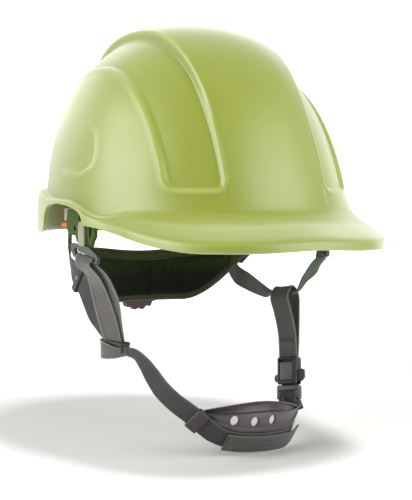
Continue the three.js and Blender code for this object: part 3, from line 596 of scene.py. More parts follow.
def make_shell():
    x = column_places()
    last, rows = len(x) - 1, 2 * CROWN_ROWS
    points, faces = [], []
    rims = []
    for inset in (0, WALL):
        grid = crown_lines(x, inset)
        base = sum(len(p) for p in points)
        number = base + np.arange(grid.shape[0] * grid.shape[1]).reshape(grid.shape[:2])
        points.append(grid.reshape(-1, 3))
        number[0, :] = number[0, 0]
        number[last, :] = number[last, 0]
        a, b, c, d = number[:-1, :-1], number[1:, :-1], number[1:, 1:], number[:-1, 1:]
        quads = np.stack([a, b, c, d] if inset == 0 else [d, c, b, a], -1).reshape(-1, 4)
        for q in quads.tolist():
            faces.append([v for k, v in enumerate(q) if v != q[k - 1]])
        rims.append(np.concatenate([number[:, 0], number[1:last, rows][::-1]]))
    share = np.clip(np.abs(x) / (DOME["half_width"] * dome_scale(ZONE_Z)), 0, 1)
    ahead = np.maximum(1 - share**PLAN, 0) ** (1 / PLAN)
    front = np.sign(x) * np.arctan2(share, ahead)
    rear_x = np.where(x[1:last] == 0, 1e-9, x[1:last])
    rear = (np.sign(rear_x) * np.arctan2(share[1:last], -ahead[1:last]))[::-1]
    angle = np.concatenate([front, rear])
    table = np.array(RIM_ROWS, float)
    fine = spline(table, np.linspace(0, 1, (len(table) - 1) * RIM_STEPS + 1))
    rings = [rims[0]]
    for row in fine:
        base = sum(len(p) for p in points)
        points.append(rim_points(angle, row))
        rings.append(base + np.arange(len(angle)))
    rings.append(rims[1])
    for above, below in zip(rings, rings[1:]):
        next_above, next_below = np.roll(above, -1), np.roll(below, -1)
        faces += np.stack([above, below, next_below, next_above], -1).tolist()
    points = np.concatenate(points)
    used = np.unique(np.concatenate([np.array(f) for f in faces]))
    renumber = np.zeros(len(points), int)
    renumber[used] = np.arange(len(used))
    faces = [[int(renumber[v]) for v in f] for f in faces]
    points = points[used]
    piece("shell_moulded", points, enclosed(points, faces), SHELL, "helmet", ["shell"])


make_shell()


# ---------------------------------------------------------------- floor and light
FLOOR_GAP = 0.0006


def make_stage():
    """The floor, in metres: flat under the helmet and curved up behind it."""
    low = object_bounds()[0].z - FLOOR_GAP
    half, rise, bend_at, bend = 4.0, 2.4, 1.6, 1.1
    n = Nodes("studio_floor")
    shade = n.ramp(n.noise(3, 2), [(0.3, (0.80, 0.80, 0.79)), (0.7, (0.82, 0.82, 0.81))])
    roughness = n.math("MULTIPLY_ADD", n.noise(40, 3), 0.1, 0.72)
    n.link(shade, n.shader.inputs["Emission Color"])
    far = n.add("VectorMath", operation="LENGTH")
    n.link(n.place(), far.inputs[0])
    # The floor glows with distance, so that only the floor near the helmet takes its shadow.
    glow = n.math("MULTIPLY_ADD", n.math("POWER", far.outputs["Value"], 2), 0.9, -0.2)
    glow = n.math("MAXIMUM", n.math("MINIMUM", glow, 1.1), 0)
    n.link(glow, n.shader.inputs["Emission Strength"])
    path = [(-half, low)]
    for t in np.linspace(0, math.pi / 2, 20):
        path.append((bend_at + bend * math.sin(t), low + bend * (1 - math.cos(t))))
    path.append((bend_at + bend, low + rise))
    turn = Matrix.Rotation(-math.radians(CAMERA["azimuth"]), 3, "Z")
    points = [turn @ Vector((side * half, y, z)) for y, z in path for side in (-1, 1)]
    faces = [(2 * i, 2 * i + 1, 2 * i + 3, 2 * i + 2) for i in range(len(path) - 1)]
    data = bpy.data.meshes.new("studio_floor")
    data.from_pydata(points, [], faces)
    data.shade_smooth()
    data.materials.append(n.finish(shade, roughness, None, Specular_IOR_Level=0.2))
    new_object("studio_floor", data)

    # A white surround that only the camera sees, so that every angle has a pale background.
    bpy.ops.mesh.primitive_uv_sphere_add(segments=48, ring_count=24, radius=2 * half)
    surround = bpy.context.object
    surround.name = "studio_surround"
    for ray in ("diffuse", "glossy", "transmission", "volume_scatter", "shadow"):
        setattr(surround, f"visible_{ray}", False)
    n = Nodes("studio_surround")
    n.link(n.fade(n.noise(2, 2), 0.3, 0.7, 0.97), n.shader.inputs["Emission Color"])
    n.shader.inputs["Emission Strength"].default_value = 1.0
    surround.data.materials.append(n.material)


def area_light(name, azimuth, elevation, distance, size, power):
    """A soft light that looks at the helmet. Azimuth 0 is behind the camera, positive to its right."""
    a = math.radians(azimuth - CAMERA["azimuth"])
    e = math.radians(elevation)
    back = Vector((math.sin(a) * math.cos(e), -math.cos(a) * math.cos(e), math.sin(e)))
    data = bpy.data.lights.new(name, "AREA")
    data.shape, data.size, data.energy = "SQUARE", size, power
    light = new_object(name, data)
    light.location = Vector((0, 0, 0.03)) + back * distance
    light.rotation_mode = "QUATERNION"
    light.rotation_quaternion = (-back).to_track_quat("-Z", "Y")
    return light


# Name, azimuth and elevation in degrees, distance and size in metres, and power in watts.
LIGHTS = [
    ("key", 50, 74, 1.6, 0.3, 18),
    ("left_box", -68, 22, 1.3, 1.1, 17),
    ("right_box", 62, 20, 1.4, 1.1, 13),
]
WORLD_STRENGTH = 0.21


def make_light():
    world = bpy.data.worlds.new("studio")
    bpy.context.scene.world = world
    world.use_nodes = True
    background = world.node_tree.nodes["Background"]
    background.inputs[0].default_value = (1, 1, 1, 1)
    background.inputs[1].default_value = WORLD_STRENGTH
    key, *_ = [area_light(*light) for light in LIGHTS]
    key.visible_glossy = False
    bpy.context.scene.view_settings.view_transform = "Standard"


# ---------------------------------------------------------------- webbing
class Strap:
    """A flat woven band along a smooth route, with the frame of each point along it."""

    def __init__(self, route, across, widths=(1, 1), steps=None, width=WEBBING_WIDTH):
        route = np.asarray(route, float)
        across = np.asarray(across, float)
        across = np.vstack([across, across]) if across.ndim == 1 else across
        rough = spline(route, np.linspace(0, 1, 600))
        self.length = np.linalg.norm(np.diff(rough, axis=0), axis=1).sum()
        count = steps or max(12, int(self.length / 1.3))
        t = np.linspace(0, 1, count + 1)
        self.centre = spline(route, t)
        tangent = unit(np.gradient(self.centre, axis=0))
        side = spline(across, t)
        self.side = unit(side - (side * tangent).sum(1)[:, None] * tangent)
        self.up = np.cross(tangent, self.side)
        share = spline([(w, 0, 0) for w in widths], t)[:, 0]
        self.half = share * width / 2
        run = np.linalg.norm(np.diff(self.centre, axis=0), axis=1)
        self.along = np.concatenate([[0], np.cumsum(run)])
        self.width = width

    def at(self, s, u, face, lift=0.0):
        """A point on the strap: s millimetres along, u across from -1 to 1, on face +1 or -1."""
        s = np.clip(np.asarray(s, float), 0, self.along[-1])

        def pick(rows):
            return np.stack([np.interp(s, self.along, rows[:, k]) for k in range(3)], -1)

        half = np.interp(s, self.along, self.half)
        rise = face * (WEBBING_THICKNESS / 2 + np.asarray(lift) + 0 * half)
        return pick(self.centre) + pick(self.side) * (u * half)[..., None] + pick(self.up) * rise[..., None]


SELVEDGE = 0.16


def webbing(name, strap, material, body, replaces=()):
    """The strap's cloth: a woven section with slightly thicker rounded edges."""
    across = np.array([-1, -0.97, -0.9, -0.8, -0.6, -0.3, 0, 0.3, 0.6, 0.8, 0.9, 0.97, 1])
    swell = 1 + SELVEDGE * np.exp(-(((np.abs(across) - 0.9) / 0.07) ** 2))
    rounded = (1 - np.clip((np.abs(across) - 0.93) / 0.07, 0, 1) ** 2) ** 0.5
    half_thick = WEBBING_THICKNESS / 2 * swell * rounded
    half_thick[[0, -1]] = 0
    u = np.concatenate([across, across[-2:0:-1]])
    h = np.concatenate([half_thick, -half_thick[-2:0:-1]])
    wave = 0.12 * np.sin(strap.along / 7.0)[:, None] * (1 - u**2)[None]
    rings = (
        strap.centre[:, None]
        + strap.side[:, None] * (strap.half[:, None] * u)[..., None]
        + strap.up[:, None] * (h[None] + wave)[..., None]
    )
    points, faces = lofted(rings)
    uv = np.zeros((len(points), 2))
    uv[:-2, 0] = np.tile(u * strap.width / 2, len(strap.along))
    uv[:-2, 1] = np.repeat(strap.along, len(u))
    uv[-1, 1] = strap.along[-1]
    return piece(name, points, faces, material, body, replaces, uv)


def round_rings(line, radius, across, out, sides):
    """Rings of points about each point of a line, for a thread, a bead or a piping."""
    turns = np.arange(sides) * 2 * math.pi / sides
    return np.stack([line + radius * (math.cos(a) * across + math.sin(a) * out) for a in turns], 1)


def stitching(name, strap, runs, body, face=1, thread=THREAD, pitch=2.6):
    """Sewing thread on a strap. Each run goes from (s, u) to (s, u); every stitch is a small bowed bar."""
    points, faces = [], []
    for (s0, u0), (s1, u1) in runs:
        reach = math.hypot(s1 - s0, (u1 - u0) * strap.width / 2)
        count = max(1, round(reach / pitch))
        for k in range(count):
            t = (k + np.array([0.12, 0.3, 0.5, 0.7, 0.88])) / count
            s, u = lerp(s0, s1, t), lerp(u0, u1, t)
            lift = np.array([-0.1, 0.14, 0.2, 0.14, -0.1])
            line = strap.at(s, u, face, lift)
            way = unit(line[-1] - line[0])
            out = unit(strap.at(s, u, face, 1.0) - strap.at(s, u, face, 0.0))
            across = np.cross(way, out)
            radius = np.array([0.1, 0.26, 0.3, 0.26, 0.1])[:, None]
            p, f = lofted(round_rings(line, radius, across, out, 6))
            faces += [tuple(v + len(points) for v in q) for q in f]
            points += p.tolist()
    return piece(name, points, faces, thread, body)


def sewn_through(name, strap, runs, body="helmet"):
    """Stitching that shows on both faces."""
    stitching(name, strap, runs, body, 1)
    stitching(f"{name}_inner", strap, runs, body, -1)


def box_x(s, length, u=0.74):
    """A box with crossed diagonals, sewn over the given length of strap from s."""
    a, b, c, d = (s, -u), (s + length, -u), (s + length, u), (s, u)
    return [(a, b), (b, c), (c, d), (d, a), (a, c), (b, d)]


RING_X, RING_Y = 104, -11
SOCKET_X = 103.4


def over_bar(sign, down_outside, down_inside):
    def at(out, z):
        return (RING_X * sign + 0.95 * sign * out, RING_Y - 0.31 * out, z)

    return [*down_outside, at(2.9, -9), at(2.5, -6), at(0, -3.5), at(-2.5, -6), at(-2.9, -9), *down_inside]


def make_straps():
    turned = [(0.42, -0.9, 0), (0.55, -0.83, 0), (0.42, -0.9, 0)]
    front = Strap(
        over_bar(
            -1,
            [(-77, -1.4, -71.5), (-85.8, -7.1, -50), (-92.6, -11.3, -34), (-99.6, -14.2, -19)],
            [(-94.4, -17.6, -19), (-87.7, -15.6, -34), (-82.2, -8.2, -50), (-75, -0.8, -71.5)],
        ),
        turned + [(0.31, -0.95, -0.28)] * 7 + turned[::-1],
    )
    webbing("front_strap_right_web", front, WARM_STRAP, "helmet", ["front_strap_right"])
    edges = [((2, u), (54, u)) for u in (0.72, -0.72)]
    stitching("front_strap_right_sewing", front, edges + box_x(38, 12, 0.6), "helmet", -1)

    rear = Strap(
        [(-88, 52.4, 13.6), (-87.8, 53.4, 2), (-87.6, 53, -10), (-88, 43, -19.5), (-88, 31, -26)]
        + [(-86, 22, -38), (-83.6, 14.6, -51), (-79.8, 10.8, -59.6), (-75.4, 6.4, -67)],
        [(-0.5, -0.86, 0), (-0.5, -0.86, 0), (-0.3, -0.86, -0.2), (0, -0.7, 0.6), (0.1, -0.7, 0.6)]
        + [(0.31, -0.95, 0.3), (0.31, -0.95, 0), (0.31, -0.95, -0.2), (0.31, -0.95, -0.2)],
    )
    webbing("rear_strap_right_web", rear, STRAP, "helmet", ["rear_strap_right"])
    sewn_through("rear_strap_right_sewing", rear, box_x(2, 12))

    left = Strap(
        over_bar(
            1,
            [(88.4, 51.8, 12.4), (88.5, 53.6, 6), (88.4, 60, -1), (86, 78, -6), (81, 90, -19)]
            + [(79.5, 82, -27.5), (79.2, 61, -33.6), (75.4, 36, -38), (70.6, 17.5, -39.6)]
            + [(67.7, 4.1, -38.4), (71.1, -5, -39), (76, -14.5, -36.4), (84, -15, -26), (97, -12.5, -16)],
            [(100.6, -10.4, -12)],
        ),
        [(0.5, -0.86, 0), (0.45, -0.88, 0), (0.4, -0.9, 0.1), (0.2, -0.8, 0.5), (0.1, -0.3, 0.95)]
        + [(0, 0, 1)] * 3
        + [(0.4, 0, 0.9), (0.87, 0.42, 0.2), (0.89, 0.45, 0), (0.85, 0.5, 0), (0.87, 0.46, 0)]
        + [(0.88, 0.4, 0), (0.6, 0.8, 0)]
        + [(0.31, 0.95, 0)] * 5,
        [1] * 6 + [0.95, 0.7, 0.46, 0.3, 0.28, 0.32, 0.7] + [1] * 7,
    )
    webbing("v_strap_left_web", left, V_STRAP, "helmet", ["v_strap_left"])
    sewn_through("v_strap_left_sewing", left, box_x(2, 12))

    drop = Strap(
        [(71.9, -9.8, -94.5), (71, -9, -70), (67.4, -8, -52), (64.8, -6.8, -40), (70.8, -5.2, -33)]
        + [(77.4, -3.8, -40), (77, -5.4, -52), (75.2, -7.6, -70), (73.2, -9, -94.5)],
        (0.471, -0.859, 0.133),
    )
    webbing("drop_loop_left_web", drop, LOOP_STRAP, "helmet", ["drop_loop_left"])
    full = drop.along[-1]
    bar = [((19 + row, -0.78), (19 + row, 0.78)) for row in (0, 1.1, 2.2)]
    stitching("drop_loop_left_tack", drop, bar, "helmet", -1, DARK_THREAD, 1.8)
    stitching("drop_loop_left_edge", drop, [((25, 0.84), (54, 0.84))], "helmet", -1)
    stitching("drop_loop_left_edge_outer", drop, [((full - 54, 0.84), (full - 25, 0.84))], "helmet", -1)

    chin = Strap(
        [(-73.2, -15, -73.6), (-71, -24.3, -75), (-68, -32.5, -81.6), (-65, -38.5, -89.5)]
        + [(-61.6, -45.5, -98), (-55.5, -54.5, -106.8), (-47.1, -62.5, -114.8), (-39.2, -66, -122.4)]
        + [(-33, -68.5, -128), (-25, -71.5, -132.4), (-13, -74, -135.4), (2.8, -74.6, -136.6)]
        + [(19, -71, -137.4), (31, -65.6, -137.2), (41, -58, -135.6), (49, -49, -132.6)]
        + [(55.5, -40.5, -129.6), (62.4, -31.8, -127.4), (66.4, -20.8, -123)],
        [(0, 0, 1), (0, -0.2, 1), (0.23, -0.71, 0.65), (0.23, -0.71, 0.65), (0.2, -0.6, 0.75)]
        + [(0.1, -0.45, 0.87), (0.1, -0.45, 0.87), (0.1, -0.5, 0.85), (0.1, -0.55, 0.82)]
        + [(0, -0.6, 0.8)] * 5
        + [(-0.1, -0.55, 0.82), (-0.1, -0.5, 0.85), (0, -0.5, 0.85), (0.3, -0.7, 0.6)]
        + [(0.449, -0.894, 0.1)],
        [0.42, 0.5, 0.74, 0.94] + [1] * 15,
    )
    web = webbing("chin_strap_web", chin, STRAP, None, ["chin_strap"])
    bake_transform(web)

    flap = Strap(
        [(42.5, -60.5, -137.2), (32, -68, -139.2), (20, -73.2, -139.2), (4, -76.8, -138.4)]
        + [(-12, -76.4, -137.2), (-26.2, -74.2, -134.8)],
        (0, -0.6, 0.8),
    )
    webbing("chin_strap_flap_web", flap, FLAP_STRAP, "chin", ["chin_strap_flap"])
    last = flap.along[-1]
    hem = [((last - 5.5, -0.8), (last - 5.5, 0.8)), ((last - 3.2, 0.8), (last - 3.2, -0.8))]
    sewn_through("chin_strap_flap_hem", flap, hem, "chin")


CLIP_Z, CLIP_INSET, CRADLE_TOP = 46, 10, 134
CLIP_DEGREES = {"front": 38, "side": 90, "rear": 142}


def clip_spot(angle):
    """Where a crown clip sits inside the shell, with the ways along the wall and out of it."""
    centre = dome_at(angle, CLIP_Z)
    along = unit((dome_at(angle + 0.02, CLIP_Z) - centre) * (1, 1, 0))
    out = np.array([along[1], -along[0], 0])
    if out[0] * centre[0] + out[1] * (centre[1] - DOME["centre_y"]) < 0:
        out = -out
    return centre - out * (WALL + CLIP_INSET), along, out


def make_cradle():
    for place, degrees, layer in (("diagonal_left", 38, 0), ("across", 90, 1), ("diagonal_right", -38, 2)):
        name = f"crown_strap_{place}"
        ends = []
        for turn in (degrees, degrees + 180 if degrees < 0 else degrees - 180):
            centre, _, out = clip_spot(math.radians(turn))
            end = centre - out * 5
            ends.append((end[0], end[1], CLIP_Z - 3))
        a, b = np.array(ends)
        middle, half = (a + b) / 2, (a - b) / 2
        turn = np.linspace(0, math.pi, 17)
        reach = np.sign(np.cos(turn)) * np.abs(np.cos(turn)) ** 0.8
        rise = (CRADLE_TOP - middle[2] - layer * 1.8) * np.abs(np.sin(turn)) ** 0.9
        route = middle + half * reach[:, None] + UP * rise[:, None]
        strap = Strap(route, unit((half[1], -half[0], 0)), steps=180, width=CRADLE_WIDTH)
        webbing(f"{name}_web", strap, CRADLE, "helmet", [name])
        runs = box_x(10, 14) + box_x(strap.along[-1] - 24, 14)
        for face, side in ((1, "out"), (-1, "in")):
            stitching(f"{name}_sewing_{side}", strap, runs, "helmet", face, DARK_THREAD)


# ---------------------------------------------------------------- padded pieces
# How far each skin starts from the middle of its pad, as a share of the thickness, and what is left of
# that where the pad is sewn.
SKIN_SHARE, SEWN_SHARE = 0.42, 0.12


def puffed(name, at, count, thickness, quilt, body, replaces, pressure, cap, closed=False, cloth=PAD):
    """A sewn pad. at(u, v) gives a point and the way out of the head for u along and v across, 0 to 1.
    Its two skins are joined at the edge and along the quilt lines, then blown up as cloth, but no
    point moves further than the cap. A closed pad runs all the way round in u."""
    nu, nv = count
    u, v = np.meshgrid(np.linspace(0, 1, nu + 1), np.linspace(0, 1, nv + 1), indexing="ij")
    middle, out = at(u, v)
    edge = np.minimum(v, 1 - v) * nv
    if not closed:
        edge = np.minimum(edge, np.minimum(u, 1 - u) * nu)
    sewn = (edge < 0.5) | quilt(u, v)
    half = thickness * SKIN_SHARE

    def skins(rise):
        return np.concatenate([(middle + side * out * rise).reshape(-1, 3) for side in (1, -1)])

    points = skins(half * np.where(sewn, SEWN_SHARE, 1.0)[..., None])
    number = np.arange(2 * (nu + 1) * (nv + 1)).reshape(2, nu + 1, nv + 1)
    faces = []
    for k in range(2):
        n = number[k]
        quad = np.stack([n[:-1, :-1], n[1:, :-1], n[1:, 1:], n[:-1, 1:]], -1).reshape(-1, 4)
        faces += (quad if k else quad[:, ::-1]).tolist()
    rim = [number[:, :, 0], number[:, ::-1, -1]]
    if not closed:
        rim += [number[:, -1, :], number[:, 0, ::-1]]
    for a, b in rim:
        faces += np.stack([a[:-1], a[1:], b[1:], b[:-1]], -1).tolist()
    obj = piece(name, points, enclosed(points, faces), cloth, body, replaces)
    fixed = np.tile(sewn.reshape(-1), 2)
    before = points * MM
    after = inflate(obj, fixed, pressure)
    shift = after - before
    size = np.linalg.norm(shift, axis=1, keepdims=True)
    shift *= np.minimum(1, cap * MM / np.maximum(size, 1e-9))
    obj.data.vertices.foreach_set("co", (before + shift).astype(np.float32).ravel())
    obj.data.update()
    smooth = obj.modifiers.new("smooth", "SUBSURF")
    smooth.levels = smooth.render_levels = 1
    apply_modifiers(obj)


def apply_modifiers(obj):
    bpy.context.view_layer.update()
    graph = bpy.context.evaluated_depsgraph_get()
    data = bpy.data.meshes.new_from_object(obj.evaluated_get(graph))
    obj.modifiers.clear()
    old = obj.data
    obj.data = data
    data.name = obj.name
    bpy.data.meshes.remove(old)


CLOTH_FRAMES = 20
CLOTH = {
    "quality": 4, "mass": 0.15, "tension_stiffness": 12, "compression_stiffness": 12,
    "bending_stiffness": 0.3, "use_pressure": True, "vertex_group_mass": "seams",
}


def inflate(obj, fixed, pressure):
    """Where the vertices lie after the cloth, pinned along its seams, has been blown up."""
    group = obj.vertex_groups.new(name="seams")
    group.add(np.nonzero(fixed)[0].tolist(), 1.0, "REPLACE")
    cloth = obj.modifiers.new("cloth", "CLOTH")
    for key, value in CLOTH.items():
        setattr(cloth.settings, key, value)
    cloth.settings.uniform_pressure_force = pressure
    cloth.settings.effector_weights.gravity = 0
    cloth.point_cache.frame_start, cloth.point_cache.frame_end = 1, CLOTH_FRAMES
    for number in range(1, CLOTH_FRAMES + 1):
        bpy.context.scene.frame_set(number)
    graph = bpy.context.evaluated_depsgraph_get()
    result = obj.evaluated_get(graph).to_mesh()
    moved = np.zeros(len(result.vertices) * 3, np.float32)
    result.vertices.foreach_get("co", moved)
    obj.modifiers.clear()
    obj.vertex_groups.clear()
    bpy.context.scene.frame_set(1)
    return moved.reshape(-1, 3).astype(float)


def cord_along(name, path, radius, material, body, closed=False, sides=8):
    """A thin round piping or bead along a row of points."""
    path = np.asarray(path, float)
    if closed:
        tangent = unit(np.roll(path, -1, 0) - np.roll(path, 1, 0))
    else:
        tangent = unit(np.gradient(path, axis=0))
    guide = unit(np.cross(tangent, (0.31, 0.17, 0.93)))
    points, faces = lofted(round_rings(path, radius, guide, np.cross(tangent, guide), sides), closed)
    return piece(name, points, faces, material, body)


BAND = {"half_width": 77, "front": 90, "rear": 97, "thickness": 2.2}
NAPE = {"half_width": 80.4, "centre_y": 20, "rear": 97, "thickness": 2.4, "arm": 60}


def band_plan(a):
    depth = np.where(np.cos(a) > 0, BAND["front"], BAND["rear"])
    return xyz(BAND["half_width"] * np.sin(a), -depth * np.cos(a), 0)


def nape_plan(a, inset=0.0):
    along, half = -np.cos(a), NAPE["half_width"] - inset
    depth = NAPE["rear"] - inset - NAPE["centre_y"]
    arm = xyz(np.sign(np.sin(a)) * half, NAPE["centre_y"] + NAPE["arm"] * along, 0)
    cup = xyz(half * np.sin(a), NAPE["centre_y"] + depth * along, 0)
    return np.where((along < 0)[..., None], arm, cup)


def nape_pad_plan(a):
    return nape_plan(a, 4.6)


def plan_out(plan, a):
    """The level way out of the head at each angle of a plan."""
    ahead = plan(a + 0.005) - plan(a - 0.005)
    out = unit(xyz(ahead[..., 1], -ahead[..., 0], 0))
    return out * np.sign((out * plan(a)).sum(-1))[..., None]


def from_front(a):
    """Degrees from the front, 0 to 180 on either side."""
    d = np.abs(np.degrees(a))
    return np.where(d > 180, 360 - d, d)


def nape_low(d):
    return lerp(14, -47, step(89, 157, d))


def nape_high(d):
    return lerp(28, -3, step(94, 134, d)) - 5 * step(130, 180, d)


def nape_edges(d):
    return nape_low(d), nape_high(d)


def band_edges(d):
    return lerp(12, 15, step(30, 95, d)), lerp(42, 37, step(40, 90, d))


def standing_strip(name, plan, degrees, edges, thickness, body, replaces, bead=0.5):
    """A moulded band round part of the head, with rounded beads along both its edges."""
    a = np.radians(np.linspace(*degrees, 241))
    low, high = edges(from_front(a))
    inside, out = plan(a), plan_out(plan, a)
    share = np.array([0, 0.012, 0.05, 0.09, 0.13, 0.3, 0.5, 0.7, 0.87, 0.91, 0.95, 0.988, 1])
    proud = bead * np.array([0, 0.7, 1, 0.8, 0, 0, 0, 0, 0, 0.8, 1, 0.7, 0])
    inner = np.array([0.5, 0.12, 0, 0, 0, 0, 0, 0, 0, 0, 0, 0.12, 0.5]) * thickness
    rings = []
    for i in range(len(a)):
        z = lerp(low[i], high[i], share)
        outer = [(thickness - 0.7 * n * 0.3 + p, h) for n, p, h in zip(inner, proud, z)]
        back = [(n, h) for n, h in zip(inner[1:-1], z[1:-1])][::-1]
        rings.append([inside[i] + out[i] * far + (0, 0, h) for far, h in outer + back])
    points, faces = lofted(np.array(rings))
    piece(name, points, faces, DEEP_GREEN, body, replaces)


CROWN_PAD = {"radius": 28.5, "hole": 4, "y": 18, "z": CRADLE_TOP - 12}


def make_pads():
    def brow(u, v):
        a = np.radians(lerp(-62, 62, u))
        d = from_front(a)
        z = lerp(lerp(9, 14, step(30, 62, d)), lerp(44, 38, step(20, 62, d)), v)
        out = plan_out(band_plan, a)
        return band_plan(a) * 0.94 + out * 1.7 + z[..., None] * UP, out

    def brow_quilt(u, v):
        lines = np.abs((u * 10) % 1 - 0.5) > 0.47
        return lines & (v > 0.2) & (v < 0.8)

    puffed("brow_pad_sewn", brow, (100, 14), 3.0, brow_quilt, "helmet", ["brow_pad"], 5, 1.6)

    def nape(u, v):
        a = np.radians(lerp(128, 232, u))
        d = from_front(a)
        z = lerp(nape_low(d) + 3.5, nape_high(d) - 9, v)
        out = plan_out(nape_pad_plan, a)
        return nape_pad_plan(a) + out * 2 + z[..., None] * UP, out

    def nape_quilt(u, v):
        return np.abs(u - 0.5) < 0.004

    puffed("nape_pad_sewn", nape, (84, 14), 3.2, nape_quilt, "nape", ["nape_pad"], 3, 0.7, cloth=NAPE_PAD)

    def crown(u, v):
        a, r = 2 * np.pi * u, lerp(CROWN_PAD["hole"], CROWN_PAD["radius"], v)
        dip = -(r / CROWN_PAD["radius"]) ** 2 * 1.4
        p = xyz(r * np.sin(a), CROWN_PAD["y"] - r * np.cos(a), CROWN_PAD["z"] + dip)
        return p, np.broadcast_to(UP, p.shape)

    def crown_quilt(u, v):
        return np.abs(v - 0.45) < 0.03

    puffed("crown_pad_sewn", crown, (72, 16), 4.4, crown_quilt, "helmet", ["crown_pad"], 5, 1.6, True)
    a, r = np.linspace(0, 2 * np.pi, 97)[:-1], CROWN_PAD["radius"] + 0.5
    ring = xyz(r * np.sin(a), CROWN_PAD["y"] - r * np.cos(a), CROWN_PAD["z"] - 1.4)
    cord_along("crown_pad_piping", ring, 0.8, PIPING, "helmet", True)
    long, short = np.linspace(0, 1, 90), np.linspace(0, 1, 14)[1:-1]
    u = np.concatenate([long, np.ones(12), long[::-1], np.zeros(12)])
    v = np.concatenate([np.zeros(90), short, np.ones(90), short[::-1]])
    for name, at, body in (("brow", brow, "helmet"), ("nape", nape, "nape")):
        cord_along(f"{name}_pad_piping", at(u, v)[0], 0.75, PIPING, body, True)


def make_bands():
    standing_strip(
        "headband_front_moulded", band_plan, (-96, 96), band_edges, BAND["thickness"],
        "helmet", ["headband_front"],
    )
    for place, foot in (("front", 25), ("side", 33.4)):
        for side in (1, -1):
            angle = math.radians(side * CLIP_DEGREES[place])
            centre, along, out = clip_spot(angle)
            start = band_plan(angle) + UP * foot + out * 2
            end = np.array([centre[0], centre[1], CLIP_Z - 11])
            middle = lerp(start, end, 0.6)
            middle[2] = lerp(foot, end[2], 0.3)
            leg = Strap([start, middle, end], along, (1.25, 0.85, 1), steps=14, width=13)
            name = f"headband_leg_{place}_{'left' if side > 0 else 'right'}"
            webbing(name, leg, DEEP_GREEN, "helmet")
    standing_strip(
        "nape_band_moulded", nape_plan, (62, 298), nape_edges, NAPE["thickness"],
        "nape", ["nape_band"], 0.3,
    )
    a = np.radians(np.linspace(96, 264, 220))
    low, high = nape_edges(from_front(a))
    middle = nape_plan(a) + plan_out(nape_plan, a) * NAPE["thickness"] / 2
    for name, height, radius in (("top", high + 0.2, 1.15), ("lower", low - 0.2, 1.5)):
        cord_along(f"nape_band_{name}_bead", middle + height[:, None] * UP, radius, BROWN, "nape")


# ---------------------------------------------------------------- small moulded parts
def frame_of(across, up=(0, 0, 1)):
    """Rows: the directions of a small part's own X, Y and Z axes."""
    x = unit(across)
    z = unit(np.asarray(up, float) - np.dot(up, x) * x)
    return np.array([x, np.cross(z, x), z])


def soften_edges(obj, width):
    """Bevels an object's sharp edges; width is in the object's own units."""
    edge = obj.modifiers.new("edges", "BEVEL")
    edge.width, edge.segments, edge.limit_method = width, 2, "ANGLE"
    edge.angle_limit = math.radians(40)
    return edge


